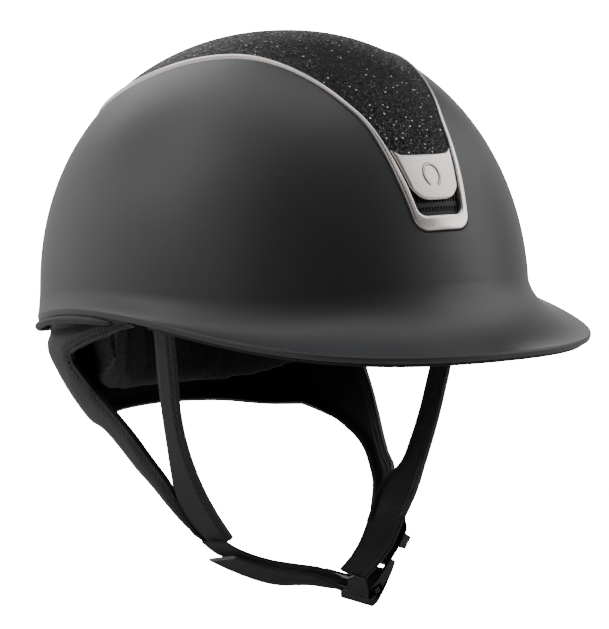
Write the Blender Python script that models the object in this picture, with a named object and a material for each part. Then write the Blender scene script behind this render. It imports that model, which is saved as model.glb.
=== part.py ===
"""Equestrian riding helmet: shell with peak, foam, liner, trim, harness and side-release chin buckle.

Frame: +Z up, the front (peak) at -Y, the wearer's right at -X and left at +X.
The origin is the centre of the head opening, at the level of the shell's side rim.
"""
import math

import bmesh
import bpy
import numpy as np

for old in list(bpy.data.objects):
    bpy.data.objects.remove(old, do_unlink=True)

MM = 0.001

# Shell: half width, front and rear half lengths, crown and widest level above the rim
HALF_WIDTH = 107 * MM
FRONT_LENGTH = 135 * MM
REAR_LENGTH = 138 * MM
CROWN_HEIGHT = 137 * MM
WIDEST_LEVEL = 8 * MM
CROWN_SHIFT = -7.5 * MM
PLAN_POWER = 2.1
HEIGHT_POWER = 2.09
SHELL_WALL = 4.5 * MM
# Rim height round the shell as a cosine series, and the peak that flares out of it
RIM_SERIES = (-4.0 * MM, 5.7 * MM, -7.0 * MM, -1.0 * MM, 2.2 * MM)
PEAK_REACH = 41 * MM
PEAK_HALF_ANGLE = 48.5
PEAK_FALLOFF = 3.57
FLARE_POWER = 0.62
LIP = 3.0 * MM

# Top panel and its frame: angles go from the front (0) over the crown (90) to the back (180)
FRAME_FRONT = 18.2
FRAME_REAR = 152.0
FRAME_BAND = 3.0
RECESS_DEPTH = 2.4 * MM
FRAME_PROUD = 1.5 * MM
RAIL_WIDTH = 1.7 * MM
RAIL_WIDENING = 1.5 * MM
FRONT_WIDENING_STARTS = 52
REAR_WIDENING_STARTS = 130
WIDENING_SPAN = 20
OPENING_CORNER = 3 * MM
HALF_WIDTH_ANGLES = (17, 22, 28, 36, 43, 50, 60, 75, 90, 104, 118, 134, 146, 153)
HALF_WIDTHS_MM = (15.0, 16.5, 18.4, 20.8, 23.2, 28.0, 34.2, 42.6, 52.0, 59.6, 62.0, 55.0, 40.0, 32.0)
SLOT = (21.6, 24.1)
PLATE = (24.6, 34.8)
REAR_SLOT = (146.2, 148.7)

# Foam liner and pads
FOAM_GAP = 1.3 * MM
FOAM_INNER = 21.5 * MM
PAD_OUTER = 25.3 * MM
PAD_INNER = 31.0 * MM
NAPE_PAD_WALL = 7.0 * MM

# Harness, listed from the rim down: level, half width, rear length, plan power of its outer face
NAPE_LEVELS_MM = (-61.0, -52.5, -42.5, -33.0, -25.5, -17.5)
NAPE_HALF_WIDTHS_MM = (73.0, 78.0, 83.0, 86.5, 88.5, 92.0)
NAPE_REARS_MM = (104.0, 109.0, 116.0, 124.0, 130.0, 133.0)
NAPE_POWERS = (2.6, 2.8, 2.9, 2.9, 2.9, 2.6)
BAND_WALL = 3.0 * MM
STRAP_WALL = 2.6 * MM
GUARD_WALL = 2.2 * MM
WEBBING_WALL = 1.6 * MM
WEBBING_WIDTH = 20 * MM
BEAD_RADIUS = 1.9 * MM
GAP = 0.4 * MM

# Buckle: its slide axis runs in the XZ plane, tilted up towards the wearer's left
BUCKLE_MOUTH = np.array((30.0, -21.0, -139.8)) * MM
BUCKLE_TILT = math.radians(25)
BUCKLE_WIDTH = 25 * MM
SLIDER_CENTRE = np.array((51.3, -21, -115.2)) * MM
WEBBING_SLOPE = math.radians(237.3)

# Colours of the finishes
SHELL_COLOUR = (0.050, 0.055, 0.060)
SILVER = (0.78, 0.72, 0.69)
GLITTER = (0.016, 0.016, 0.017)
LEATHER = (0.022, 0.024, 0.027)
WEBBING = (0.012, 0.010, 0.010)
LINER = (0.015, 0.018, 0.023)
FOAM = (0.03, 0.03, 0.03)
PLASTIC = (0.014, 0.014, 0.015)


def paint(obj, colour, roughness, metallic=0.0):
    """Give the object its own Principled material."""
    material = bpy.data.materials.new(obj.name)
    material.use_nodes = True
    shader = material.node_tree.nodes["Principled BSDF"]
    shader.inputs["Base Color"].default_value = (*colour, 1)
    shader.inputs["Roughness"].default_value = roughness
    shader.inputs["Metallic"].default_value = metallic
    obj.data.materials.append(material)


def make(name, points, faces, colour, roughness, metallic=0.0, origin=(0, 0, 0), sharp=40):
    """Build one closed mesh object from points and faces, with its faces turned outwards."""
    origin = np.array(origin, float)
    mesh = bpy.data.meshes.new(name)
    mesh.from_pydata([tuple(p - origin) for p in points], [], faces)
    work = bmesh.new()
    work.from_mesh(mesh)
    bmesh.ops.remove_doubles(work, verts=work.verts, dist=1e-6)
    bmesh.ops.recalc_face_normals(work, faces=work.faces)
    if work.calc_volume(signed=True) < 0:
        bmesh.ops.reverse_faces(work, faces=work.faces)
    work.to_mesh(mesh)
    work.free()
    mesh.shade_smooth()
    mesh.set_sharp_from_angle(angle=math.radians(sharp))
    obj = bpy.data.objects.new(name, mesh)
    obj.location = origin
    bpy.context.scene.collection.objects.link(obj)
    paint(obj, colour, roughness, metallic)
    return obj


def grid_faces(rows, columns, wrap, start=0, flip=False):
    """Quads of a grid of points stored row by row; wrap joins the last column to the first."""
    faces = []
    last = columns if wrap else columns - 1
    for r in range(rows - 1):
        for c in range(last):
            n = (c + 1) % columns
            quad = (r * columns + c, r * columns + n, (r + 1) * columns + n, (r + 1) * columns + c)
            quad = tuple(start + i for i in quad)
            faces.append(quad[::-1] if flip else quad)
    return faces


def sheet_solid(name, outer, inner, look, wrap=False, sharp=40):
    """Closed solid between two grids of points of the same size (rows, columns, 3)."""
    rows, columns = outer.shape[:2]
    points = np.concatenate([outer.reshape(-1, 3), inner.reshape(-1, 3)])
    other = rows * columns
    faces = grid_faces(rows, columns, wrap) + grid_faces(rows, columns, wrap, other, True)
    border = []
    if wrap:
        top = list(range(columns))
        bottom = [(rows - 1) * columns + c for c in range(columns)]
        border = [top + [top[0]], (bottom + [bottom[0]])[::-1]]
    else:
        edge = list(range(columns))
        edge += [r * columns + columns - 1 for r in range(1, rows)]
        edge += [(rows - 1) * columns + c for c in range(columns - 2, -1, -1)]
        edge += [r * columns for r in range(rows - 2, -1, -1)]
        border = [edge]
    for loop in border:
        for a, b in zip(loop, loop[1:]):
            faces.append((b, a, a + other, b + other))
    return make(name, points, faces, *look, sharp=sharp)


def ring_solid(name, sections, look, closed=False, sharp=40, origin=(0, 0, 0)):
    """Sweep: sections is (stations, points round the section, 3); the ends are capped unless closed."""
    stations, count = sections.shape[:2]
    points = sections.reshape(-1, 3)
    faces = grid_faces(stations, count, True)
    if closed:
        base = (stations - 1) * count
        for c in range(count):
            n = (c + 1) % count
            faces.append((base + c, base + n, n, c))
    else:
        faces.append(tuple(range(count))[::-1])
        faces.append(tuple((stations - 1) * count + c for c in range(count)))
    return make(name, points, faces, *look, sharp=sharp, origin=origin)


def box_points(centre, size, axes=None):
    """Eight corners of a box, with an optional 3x3 matrix of axis columns."""
    corners = np.array([(x, y, z) for x in (-1, 1) for y in (-1, 1) for z in (-1, 1)]) / 2
    corners = corners * np.array(size)
    if axes is not None:
        corners = corners @ np.array(axes).T
    return corners + np.array(centre)


BOX_FACES = [(0, 1, 3, 2), (4, 6, 7, 5), (0, 4, 5, 1), (2, 3, 7, 6), (0, 2, 6, 4), (1, 5, 7, 3)]


def box(name, centre, size, look, axes=None):
    """Box with its origin at its centre."""
    return make(name, box_points(centre, size, axes), BOX_FACES, *look, origin=centre)


def cut(obj, cutter, name):
    """Exact Boolean difference; the cutter is hidden and left out of the model."""
    cutter.hide_render = True
    cutter.display_type = "WIRE"
    boolean = obj.modifiers.new(name, "BOOLEAN")
    boolean.operation = "DIFFERENCE"
    boolean.object = cutter


def mix(a, b, t):
    return a + (b - a) * t


def signed_power(value, power):
    return np.sign(value) * np.abs(value) ** power


def plan(theta, inset=0.0):
    """Plan outline at the widest level: a superellipse, theta 0 at the front, positive to the left."""
    cosine, sine = np.cos(theta), np.sin(theta)
    length = np.where(cosine > 0, FRONT_LENGTH - inset, REAR_LENGTH - inset)
    x = (HALF_WIDTH - inset) * signed_power(sine, 2 / PLAN_POWER)
    return x, -length * signed_power(cosine, 2 / PLAN_POWER)


def dome(theta, level, inset=0.0):
    """Point of the dome; level 0 is the widest level and 1 the crown, spread as a superellipse."""
    x, y = plan(theta, inset)
    radius = np.maximum(1 - level ** HEIGHT_POWER, 0) ** (1 / HEIGHT_POWER)
    z = WIDEST_LEVEL + (CROWN_HEIGHT - WIDEST_LEVEL - inset) * level
    shift = CROWN_SHIFT * level * (1 - radius)
    x, y, z = np.broadcast_arrays(x * radius, y * radius + shift, z)
    return np.stack([x, y, z], -1)


def rim_height(theta):
    """Height of the shell's lower edge, round the head."""
    return sum(a * np.cos(k * theta) for k, a in enumerate(RIM_SERIES))


def flare(theta):
    """How far the lower edge stands out from the dome: the peak in front, fading past the temples."""
    angle = np.degrees(np.abs(theta))
    return PEAK_REACH / (1 + (angle / PEAK_HALF_ANGLE) ** PEAK_FALLOFF)


def dome_side(x, angle, inset=0.0):
    """Point of the dome at side distance x, seen at an angle over the crown (0 front, 180 back)."""
    x, angle = np.broadcast_arrays(np.asarray(x, float), np.radians(np.asarray(angle, float)))
    low = np.zeros(x.shape)
    high = np.full(x.shape, 0.2)
    for _ in range(40):
        middle = (low + high) / 2
        y = -3.5 * MM - middle * np.cos(angle)
        z = WIDEST_LEVEL + middle * np.sin(angle)
        level = np.clip((z - WIDEST_LEVEL) / (CROWN_HEIGHT - WIDEST_LEVEL - inset), 0, 1)
        radius = (1 - level ** HEIGHT_POWER) ** (1 / HEIGHT_POWER)
        local = y - CROWN_SHIFT * level * (1 - radius)
        length = np.where(local < 0, FRONT_LENGTH - inset, REAR_LENGTH - inset)
        value = (np.abs(x) / (HALF_WIDTH - inset)) ** PLAN_POWER
        value = value + (np.abs(local) / length) ** PLAN_POWER - radius ** PLAN_POWER
        low = np.where(value < 0, middle, low)
        high = np.where(value < 0, high, middle)
    return np.stack([x, -3.5 * MM - middle * np.cos(angle), WIDEST_LEVEL + middle * np.sin(angle)], -1)


def smooth_table(value, keys, table):
    """Smooth curve through table points (cubic with averaged slopes)."""
    keys, table = np.array(keys, float), np.array(table, float)
    slopes = np.gradient(table, keys)
    value = np.clip(value, keys[0], keys[-1])
    i = np.clip(np.searchsorted(keys, value, side="right") - 1, 0, len(keys) - 2)
    width = keys[i + 1] - keys[i]
    t = (value - keys[i]) / width
    return ((2 * t**3 - 3 * t**2 + 1) * table[i] + (t**3 - 2 * t**2 + t) * width * slopes[i]
            + (3 * t**2 - 2 * t**3) * table[i + 1] + (t**3 - t**2) * width * slopes[i + 1])


def curve_through(points, count):
    """Smooth curve through hand-set points, evenly spread by chord length."""
    points = np.array(points, float)
    chord = np.r_[0, np.cumsum(np.linalg.norm(np.diff(points, axis=0), axis=1))]
    t = np.linspace(0, chord[-1], count)
    return np.stack([smooth_table(t, chord, points[:, k]) for k in range(3)], -1)


def panel_half_width(angle):
    return smooth_table(angle, HALF_WIDTH_ANGLES, HALF_WIDTHS_MM) * MM


def rounded_half_width(angle, first, last, inset, corner=4.5 * MM):
    """Half width of a shape between two angles, less an inset, with rounded corners at both ends."""
    per_degree = 2.3 * MM
    width = panel_half_width(angle) - inset
    reach = np.minimum(angle - first, last - angle) * per_degree
    short = np.clip(1 - reach / corner, 0, 1)
    return width - corner * (1 - np.sqrt(1 - short**2))


def panel_angles(first, last, count):
    """Angles from first to last, bunched at both ends so that round corners stay round."""
    t = np.linspace(0, 1, count)
    ease = t - np.sin(2 * math.pi * t) / (2 * math.pi) * 0.75
    return first + (last - first) * ease


def shell_solid():
    """Moulded shell with the peak in one piece: outside, lip and inside as one lathe of closed rings."""
    columns = 60
    theta = np.linspace(-math.pi, math.pi, columns, endpoint=False)
    theta = theta - 0.12 * np.sin(theta)
    reach = flare(theta)
    foot = rim_height(theta)
    fillet = np.maximum(8 * MM + 0.45 * reach, WIDEST_LEVEL - foot)
    span = CROWN_HEIGHT - WIDEST_LEVEL

    def side(z, out, inset):
        level = np.clip((z - WIDEST_LEVEL) / (span - inset), 0, 1)
        base = dome(theta, level, inset)
        base[:, 2] = z
        spread = np.hypot(base[:, 0], base[:, 1])
        base[:, :2] *= (1 + out / spread)[:, None]
        return base

    start = (foot + LIP + fillet - WIDEST_LEVEL) / span
    rings = []
    for t in np.linspace(0.09, 1, 9):
        low = np.arcsin(np.clip(start, 0, 1) ** (HEIGHT_POWER / 2))
        angle = math.pi / 2 + (low - math.pi / 2) * t
        rings.append(dome(theta, np.sin(angle) ** (2 / HEIGHT_POWER)))
    for t in np.linspace(math.pi / 2, 0, 8)[1:]:
        rise = fillet * math.sin(t) ** (2 / FLARE_POWER)
        out = reach * math.cos(t) ** (2 / FLARE_POWER)
        rings.append(side(foot + LIP + rise, out, 0))
    rings.append(side(foot + 1.5 * MM, reach + 0.5 * MM, 0))
    rings.append(side(foot, reach - 0.8 * MM, 0))
    for t in np.linspace(0, math.pi / 2, 6):
        rise = fillet * math.sin(t) ** (2 / FLARE_POWER)
        out = (reach + 2.2 * MM) * math.cos(t) ** (2 / FLARE_POWER)
        rings.append(side(foot + 0.2 * MM + rise, out, SHELL_WALL))
    inner_span = span - SHELL_WALL
    inner_start = (foot + fillet - WIDEST_LEVEL) / inner_span
    for t in np.linspace(1, 0.12, 7)[1:]:
        low = np.arcsin(np.clip(inner_start, 0, 1) ** (HEIGHT_POWER / 2))
        angle = math.pi / 2 + (low - math.pi / 2) * t
        rings.append(dome(theta, np.sin(angle) ** (2 / HEIGHT_POWER), SHELL_WALL))
    top = np.array([(0, CROWN_SHIFT, CROWN_HEIGHT)])
    bottom = np.array([(0, CROWN_SHIFT, CROWN_HEIGHT - SHELL_WALL)])
    points = np.concatenate([top] + rings + [bottom])
    faces = grid_faces(len(rings), columns, True, 1)
    end = len(points) - 1
    for c in range(columns):
        n = (c + 1) % columns
        faces.append((0, 1 + n, 1 + c))
        base = 1 + (len(rings) - 1) * columns
        faces.append((end, base + c, base + n))
    return make("outer_shell", points, faces, SHELL_COLOUR, 0.42)


def slot_cutter(name, slot, half_width):
    """Box through the shell at a vent slot, square to the surface."""
    middle = sum(slot) / 2
    centre = dome_side(0, middle, 2 * MM)
    low, high = dome_side(0, slot[0], 2 * MM), dome_side(0, slot[1], 2 * MM)
    along = (high - low) / np.linalg.norm(high - low)
    side = np.array((1.0, 0, 0))
    out = np.cross(side, along)
    size = (2 * half_width, np.linalg.norm(high - low), 24 * MM)
    return box(name, centre, size, (FOAM, 0.9), axes=np.stack([side, along, out], 1))


def grille(name, slot, half_width, look):
    """Flat vent grille with two rows of rectangular holes, set in the frame's slot."""
    low, high = dome_side(0, slot[0], 1.35 * MM), dome_side(0, slot[1], 1.35 * MM)
    along = (high - low) / np.linalg.norm(high - low)
    side = np.array((1.0, 0, 0))
    out = np.cross(side, along)
    if out[1] * low[1] < 0:
        out = -out
    height = np.linalg.norm(high - low)
    hole_columns, hole_rows = 9, 2
    xs = np.linspace(-half_width, half_width, 2 * hole_columns + 2)
    ys = np.linspace(-height / 2, height / 2, 2 * hole_rows + 2)
    centre = (low + high) / 2
    points = []
    for depth in (0.0, -0.7 * MM):
        for y in ys:
            for x in xs:
                points.append(centre + side * x + along * y + out * depth)
    nx, ny = len(xs), len(ys)
    solid = np.array([[not (r % 2 and c % 2) for c in range(nx - 1)] for r in range(ny - 1)])
    faces = []
    for r in range(ny - 1):
        for c in range(nx - 1):
            if not solid[r, c]:
                continue
            a, b, d, e = r * nx + c, r * nx + c + 1, (r + 1) * nx + c + 1, (r + 1) * nx + c
            low_side = [i + nx * ny for i in (a, b, d, e)]
            faces += [(a, b, d, e), tuple(low_side[::-1])]
            for (i, j), (dr, dc) in zip(((a, b), (b, d), (d, e), (e, a)), ((-1, 0), (0, 1), (1, 0), (0, -1))):
                rr, cc = r + dr, c + dc
                inside = 0 <= rr < ny - 1 and 0 <= cc < nx - 1 and solid[rr, cc]
                if not inside:
                    faces.append((j, i, i + nx * ny, j + nx * ny))
    return make(name, points, faces, *look)


def trim_frame():
    """Polished frame: a closed ring round the top panel, with a deeper band at each end."""
    count = 34
    angles = panel_angles(FRAME_FRONT, FRAME_REAR, count)
    outside = rounded_half_width(angles, FRAME_FRONT, FRAME_REAR, 0.3 * MM)
    first, last = FRAME_FRONT + FRAME_BAND, FRAME_REAR - FRAME_BAND
    inner_angles = first + (angles - FRAME_FRONT) * (last - first) / (FRAME_REAR - FRAME_FRONT)
    inside = inner_half_width(inner_angles)
    middle = np.linspace(-1, 1, 7)[1:-1]

    def loop(half, angle):
        side = np.concatenate([half[0] * middle[::-1] * -1, half, half[-1] * middle[::-1], -half[::-1]])
        turn = np.concatenate([np.full(5, angle[0]), angle, np.full(5, angle[-1]), angle[::-1]])
        return side, turn

    xo, ao = loop(outside, angles)
    xi, ai = loop(inside, inner_angles)
    floor = RECESS_DEPTH - 0.3 * MM
    mid_x, mid_a = (xo + xi) / 2, (ao + ai) / 2
    sections = np.stack([
        dome_side(xo, ao, floor), dome_side(xo, ao, -0.7 * FRAME_PROUD),
        dome_side(mid_x, mid_a, -FRAME_PROUD),
        dome_side(xi, ai, -0.7 * FRAME_PROUD), dome_side(xi, ai, floor)], 1)
    return ring_solid("trim_frame", sections, (SILVER, 0.12, 1.0), closed=True, sharp=30)


def inner_half_width(angle):
    """Half width of the frame's opening at an angle: its rails widen towards both ends."""
    front = np.clip((FRONT_WIDENING_STARTS - angle) / WIDENING_SPAN, 0, 1)
    rear = np.clip((angle - REAR_WIDENING_STARTS) / WIDENING_SPAN, 0, 1)
    rail = RAIL_WIDTH + RAIL_WIDENING * (front + rear)
    first, last = FRAME_FRONT + FRAME_BAND, FRAME_REAR - FRAME_BAND
    return rounded_half_width(angle, first, last, 0, OPENING_CORNER) - rail


def inset_patch(name, first, last, outer, inner, look, rows, columns, clear=GAP, sharp=40):
    """Curved slab that fills the frame's opening between two angles."""
    angles = np.linspace(first, last, rows)[:, None]
    x = (inner_half_width(angles) - clear) * np.linspace(-1, 1, columns)[None, :]
    return sheet_solid(name, dome_side(x, angles, outer), dome_side(x, angles, inner), look, sharp=sharp)


def badge_plate():
    """Polished shield plate across the frame, its lower edge bowed and its top corners drawn out."""
    rows, columns = 9, 11
    v = np.linspace(-1, 1, columns)[None, :]
    t = np.linspace(0, 1, rows)[:, None]
    low = PLATE[0] + 1.5 * np.abs(v) ** 4
    high = PLATE[1] + 0.6 * np.abs(v) ** 6
    angles = low + (high - low) * t
    x = (inner_half_width(angles) - GAP) * v
    crown = 0.5 * MM * (1 - np.abs(v) ** 2) + 0 * t
    outer = dome_side(x, angles, -0.5 * MM - crown)
    inner = dome_side(x, angles, RECESS_DEPTH - 0.4 * MM)
    return sheet_solid("badge_plate", outer, inner, (SILVER, 0.12, 1.0))


def badge_emblem():
    """Plain raised horseshoe on the badge plate."""
    middle = 29.8
    turn = np.radians(np.linspace(-145, 145, 17))
    x = 3.4 * MM * np.sin(turn)
    angle = middle + 4.0 * MM * np.cos(turn) / (2.35 * MM)
    sections = []
    for dx, da, lift in ((-0.45, 0.0, 0), (0, 0.1, 0.35), (0.45, 0.0, 0), (0, -0.1, -0.1)):
        out = 1 + dx * MM / (3.7 * MM)
        xs = x * out
        angles = middle + (angle - middle) * out
        crown = 0.5 * MM * (1 - np.abs(xs / (14 * MM)) ** 2)
        sections.append(dome_side(xs, angles, -0.5 * MM - crown - (0.45 + lift) * MM))
    sections = np.stack(sections, 1)
    return ring_solid("badge_emblem", sections, (SILVER, 0.2, 1.0))


def foam_solid():
    """Foam liner: a thick dome that ends above the rim."""
    columns = 40
    theta = np.linspace(-math.pi, math.pi, columns, endpoint=False)
    foot = rim_height(theta) + 10 * MM
    outer_inset = SHELL_WALL + FOAM_GAP

    def face(inset, rows):
        span = CROWN_HEIGHT - WIDEST_LEVEL - inset
        rings = []
        for t in rows:
            start = np.clip((foot - WIDEST_LEVEL) / span, 0, 1)
            low = np.arcsin(start ** (HEIGHT_POWER / 2))
            level = np.sin(math.pi / 2 + (low - math.pi / 2) * t) ** (2 / HEIGHT_POWER)
            rings.append(dome(theta, level, inset))
        edge = rings[-1].copy()
        edge[:, 2] = np.minimum(foot, edge[:, 2])
        return rings, edge

    outside, outside_edge = face(outer_inset, np.linspace(0.14, 1, 6))
    inside, _ = face(FOAM_INNER, np.linspace(1, 0.16, 6))
    inside_low = inside[0].copy()
    inside_low[:, 2] = np.minimum(foot, inside_low[:, 2])
    rings = outside + [outside_edge - (0, 0, 0.5 * MM), inside_low - (0, 0, 0.5 * MM)] + inside
    top = np.array([(0, CROWN_SHIFT, CROWN_HEIGHT - outer_inset)])
    bottom = np.array([(0, CROWN_SHIFT, CROWN_HEIGHT - FOAM_INNER)])
    points = np.concatenate([top] + rings + [bottom])
    faces = grid_faces(len(rings), columns, True, 1)
    end = len(points) - 1
    base = 1 + (len(rings) - 1) * columns
    for c in range(columns):
        n = (c + 1) % columns
        faces.append((0, 1 + n, 1 + c))
        faces.append((end, base + c, base + n))
    return make("foam_liner", points, faces, FOAM, 0.85)


def liner_pad(name, first, last, low, high, look, outer=PAD_OUTER, inner=PAD_INNER, columns=17, rows=4):
    """Padded strip inside the foam between two plan angles and two levels of the dome."""
    theta = np.radians(np.linspace(first, last, columns))[None, :]
    level = np.linspace(high, low, rows)[:, None]
    return sheet_solid(name, dome(theta, level, outer), dome(theta, level, inner), look)


def nape_outline(theta, z, inset=0.0):
    """Plan outline of the harness's outer face at a height below the rim."""
    z_mm = z / MM
    half = smooth_table(z_mm, NAPE_LEVELS_MM, NAPE_HALF_WIDTHS_MM) * MM - inset
    rear = smooth_table(z_mm, NAPE_LEVELS_MM, NAPE_REARS_MM) * MM - inset
    power = smooth_table(z_mm, NAPE_LEVELS_MM, NAPE_POWERS)
    x = half * signed_power(np.sin(theta), 2 / power)
    y = -rear * signed_power(np.cos(theta), 2 / power)
    return x, y


NAPE_EDGE_ANGLES = (88, 96, 104, 112, 119, 126, 140, 160, 180)
NAPE_EDGE_MM = (2.0, -2.5, -7.5, -14.0, -22.0, -60.5, -62.0, -60.0, -58.5)


def nape_edge(degrees):
    """Height of the nape panel's lower edge: low round the nape, rising along the ear opening."""
    return np.interp(degrees, NAPE_EDGE_ANGLES, NAPE_EDGE_MM) * MM


def nape_panel(name, look, inset=0.0, wall=BAND_WALL, columns=47):
    """Leather-look panel from under the rear rim down to the nape, open at the front."""
    ease = np.linspace(-1, 1, columns)
    degrees = 180 + 91 * ease
    theta = np.radians(degrees)
    away = 180 - np.abs(degrees - 180)
    top = rim_height(theta) + 4 * MM
    tuck = rim_height(theta) - 5.5 * MM
    edge = nape_edge(away)
    outer, inner = [], []
    for t in np.linspace(0, 1, 7):
        z = np.minimum(top, mix(top, edge, t))
        blend = np.clip((top - z) / (top - tuck), 0, 1) ** 2
        for target, depth in ((outer, inset), (inner, inset + wall)):
            xs, ys = plan(theta, SHELL_WALL + 0.5 * MM + depth)
            xn, yn = nape_outline(theta, np.minimum(z, -17.5 * MM), depth)
            x = mix(xs, xn, blend)
            y = mix(ys, yn, blend)
            target.append(np.stack([x, y, z], -1))
    return sheet_solid(name, np.array(outer), np.array(inner), look)


def strap_solid(name, edge_a, edge_b, wall, look, rows=14, columns=4, bulge=0.5 * MM):
    """Flat strap between two edge curves, with thickness inwards from its outer face."""
    a, b = curve_through(edge_a, rows), curve_through(edge_b, rows)
    v = np.linspace(0, 1, columns)[None, :, None]
    middle = a[:, None] * (1 - v) + b[:, None] * v
    along = np.gradient((a + b) / 2, axis=0)
    across = b - a
    normal = np.cross(along, across)
    normal /= np.linalg.norm(normal, axis=1)[:, None]
    centre = (a + b) / 2
    outward = np.sign(np.sum(normal * (centre - np.array((0, -20, -60)) * MM), axis=1))
    normal = normal * outward[:, None]
    round_up = bulge * (1 - (2 * v - 1) ** 2)
    outer = middle + normal[:, None] * round_up
    return sheet_solid(name, outer, middle - normal[:, None] * wall, look)


def mirrored(points, side):
    """Hand-set points in millimetres for the wearer's left, mirrored when side is -1."""
    return np.array(points, float) * (side, 1, 1) * MM


def harness_side(side, word):
    """Front strap, rear strap, junction sleeve and anchor of one side."""
    leather = (LEATHER, 0.5)
    strap_solid("front_strap_" + word,
                mirrored([(91, -37, 11), (90, -36, 0), (85, -32, -20), (81.5, -30.2, -38), (78, -29.4, -52),
                          (73.4, -29.5, -66), (71.2, -29.8, -71.5)], side),
                mirrored([(92, -23, 11), (91, -23, 0), (86, -18, -20), (82, -15.8, -38), (79, -14.4, -50),
                          (74.6, -12.4, -65), (73.0, -11.4, -71.5)], side), STRAP_WALL, leather)
    strap_solid("rear_strap_" + word,
                mirrored([(86.9, 46.5, -27.5), (83.4, 40, -38), (78.5, 29.5, -48.4), (73.6, 16.6, -61.4),
                          (70.4, 6.4, -71.2), (69.4, 2.6, -74.4)], side),
                mirrored([(62.0, 67.5, -61.6), (65.5, 56, -64), (68.0, 44, -68), (68.7, 31, -73.0),
                          (67.2, 20.5, -79.2), (66.4, 16.4, -82.2)], side), STRAP_WALL, leather, rows=12)
    strap_solid("strap_sleeve_" + word,
                mirrored([(70.4, -30, -73.0), (66.2, -30.6, -82.3), (61.9, -31.8, -90.2),
                          (57.1, -33.1, -98.2), (53.9, -33.4, -102.9)], side),
                mirrored([(66.0, 14.6, -83.2), (63.7, 9.0, -88.6), (60.2, 3.0, -95.9),
                          (55.2, -2.5, -103.3), (48.7, -7.6, -111.1)], side),
                STRAP_WALL, leather, rows=9, columns=6)
    anchor_size = (5 * MM, 12 * MM, 7 * MM)
    box("strap_anchor_" + word, mirrored((96.2, -30, 9), side), anchor_size, (PLASTIC, 0.5))


def webbing_solid(name, route, lean, look, rows=14):
    """Webbing along a route in millimetres: its width runs along Y, the front edge raised by lean."""
    line = curve_through(np.array(route) * MM, rows)
    along = np.gradient(line, axis=0)
    along /= np.linalg.norm(along, axis=1)[:, None]
    across = np.array((0, 1, -lean))
    across = across - along * (along @ across)[:, None]
    across /= np.linalg.norm(across, axis=1)[:, None]
    normal = np.cross(along, across)
    section = []
    for v, n in ((-0.5, -0.5), (0.5, -0.5), (0.5, 0.5), (-0.5, 0.5)):
        section.append(line + across * v * WEBBING_WIDTH + normal * n * WEBBING_WALL)
    return ring_solid(name, np.stack(section, 1), look)


def tilted_axes(angle):
    """Matrix columns: a direction in the XZ plane at an angle above +X, then +Y, then their normal."""
    along = np.array((math.cos(angle), 0, math.sin(angle)))
    across = np.array((0.0, 1, 0))
    return np.stack([along, across, np.cross(along, across)], 1)


def at_buckle(along, wide, thick):
    """World point from buckle coordinates in millimetres, measured from the socket's mouth."""
    return BUCKLE_MOUTH + tilted_axes(BUCKLE_TILT) @ (np.array((along, wide, thick)) * MM)


def side_profile(name, outline, half_width, look):
    """Outline of (x, z) in millimetres swept across the buckle's width."""
    centre = BUCKLE_MOUTH[1]
    sections = [[(x * MM, centre + w, z * MM) for x, z in outline] for w in (-half_width, half_width)]
    return ring_solid(name, np.array(sections), look, origin=BUCKLE_MOUTH)


def buckle():
    """Socket, plug and the plug's two sprung release arms."""
    plastic = (PLASTIC, 0.38)
    half = BUCKLE_WIDTH / 2
    axes = tilted_axes(BUCKLE_TILT)
    socket_outline = [(30, -145.4), (30, -136.6), (33, -134.2), (38.5, -128.4), (43, -122.9),
                      (46, -124.9), (43.8, -130), (39.5, -137.6), (35.2, -144), (32, -146)]
    socket = side_profile("buckle_socket", socket_outline, half, plastic)
    cavity_size = (11 * MM, BUCKLE_WIDTH * 1.5, 3.8 * MM)
    cavity = box("socket_cavity", at_buckle(2.4, 0, 0), cavity_size, plastic, axes=axes)
    cut(socket, cavity, "Cavity")
    loop_axes = tilted_axes(math.radians(55))
    loop = box("socket_loop", np.array((41.4, -21, -127.5)) * MM, (2.6 * MM, 20.6 * MM, 30 * MM), plastic,
               axes=loop_axes)
    cut(socket, loop, "Webbing loop")
    plug_outline = [(29.5, -142.0), (29.5, -137.0), (27.4, -131.6), (21, -129.2), (16.5, -130.2),
                    (16.5, -134.0), (23, -138.6)]
    plug = side_profile("buckle_plug", plug_outline, half - 0.5 * MM, plastic)
    tongue = box("plug_tongue", at_buckle(2.6, 0, 0), (8 * MM, 6 * MM, 2.8 * MM), plastic, axes=axes)
    tongue.hide_render = True
    tongue.display_type = "WIRE"
    join = plug.modifiers.new("Tongue", "BOOLEAN")
    join.operation = "UNION"
    join.object = tongue
    slot = box("plug_slot", np.array((20.2, -21, -133)) * MM, (2.4 * MM, 20.6 * MM, 30 * MM), plastic)
    cut(plug, slot, "Webbing slot")
    button = half / MM + 0.6
    outline = [(0.1, 5.4), (0.1, 8.0), (2.0, 8.4), (3.2, button), (6.0, button), (7.0, 8.2), (7.0, 5.2)]
    for side, word in ((-1, "front"), (1, "rear")):
        sections = [[at_buckle(a, side * w, thick) for a, w in outline] for thick in (-1.4, 1.4)]
        ring_solid("release_arm_" + word, np.array(sections), plastic, origin=at_buckle(0, side * 7, 0))


def slider():
    """Plastic slide loop on the left webbing."""
    axes = tilted_axes(WEBBING_SLOPE)
    obj = box("webbing_slider", SLIDER_CENTRE, (7 * MM, 26 * MM, 5 * MM), (PLASTIC, 0.38), axes=axes)
    hole = box("slider_hole", SLIDER_CENTRE, (12 * MM, 21.2 * MM, 2.6 * MM), (PLASTIC, 0.38), axes=axes)
    cut(obj, hole, "Opening")


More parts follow.
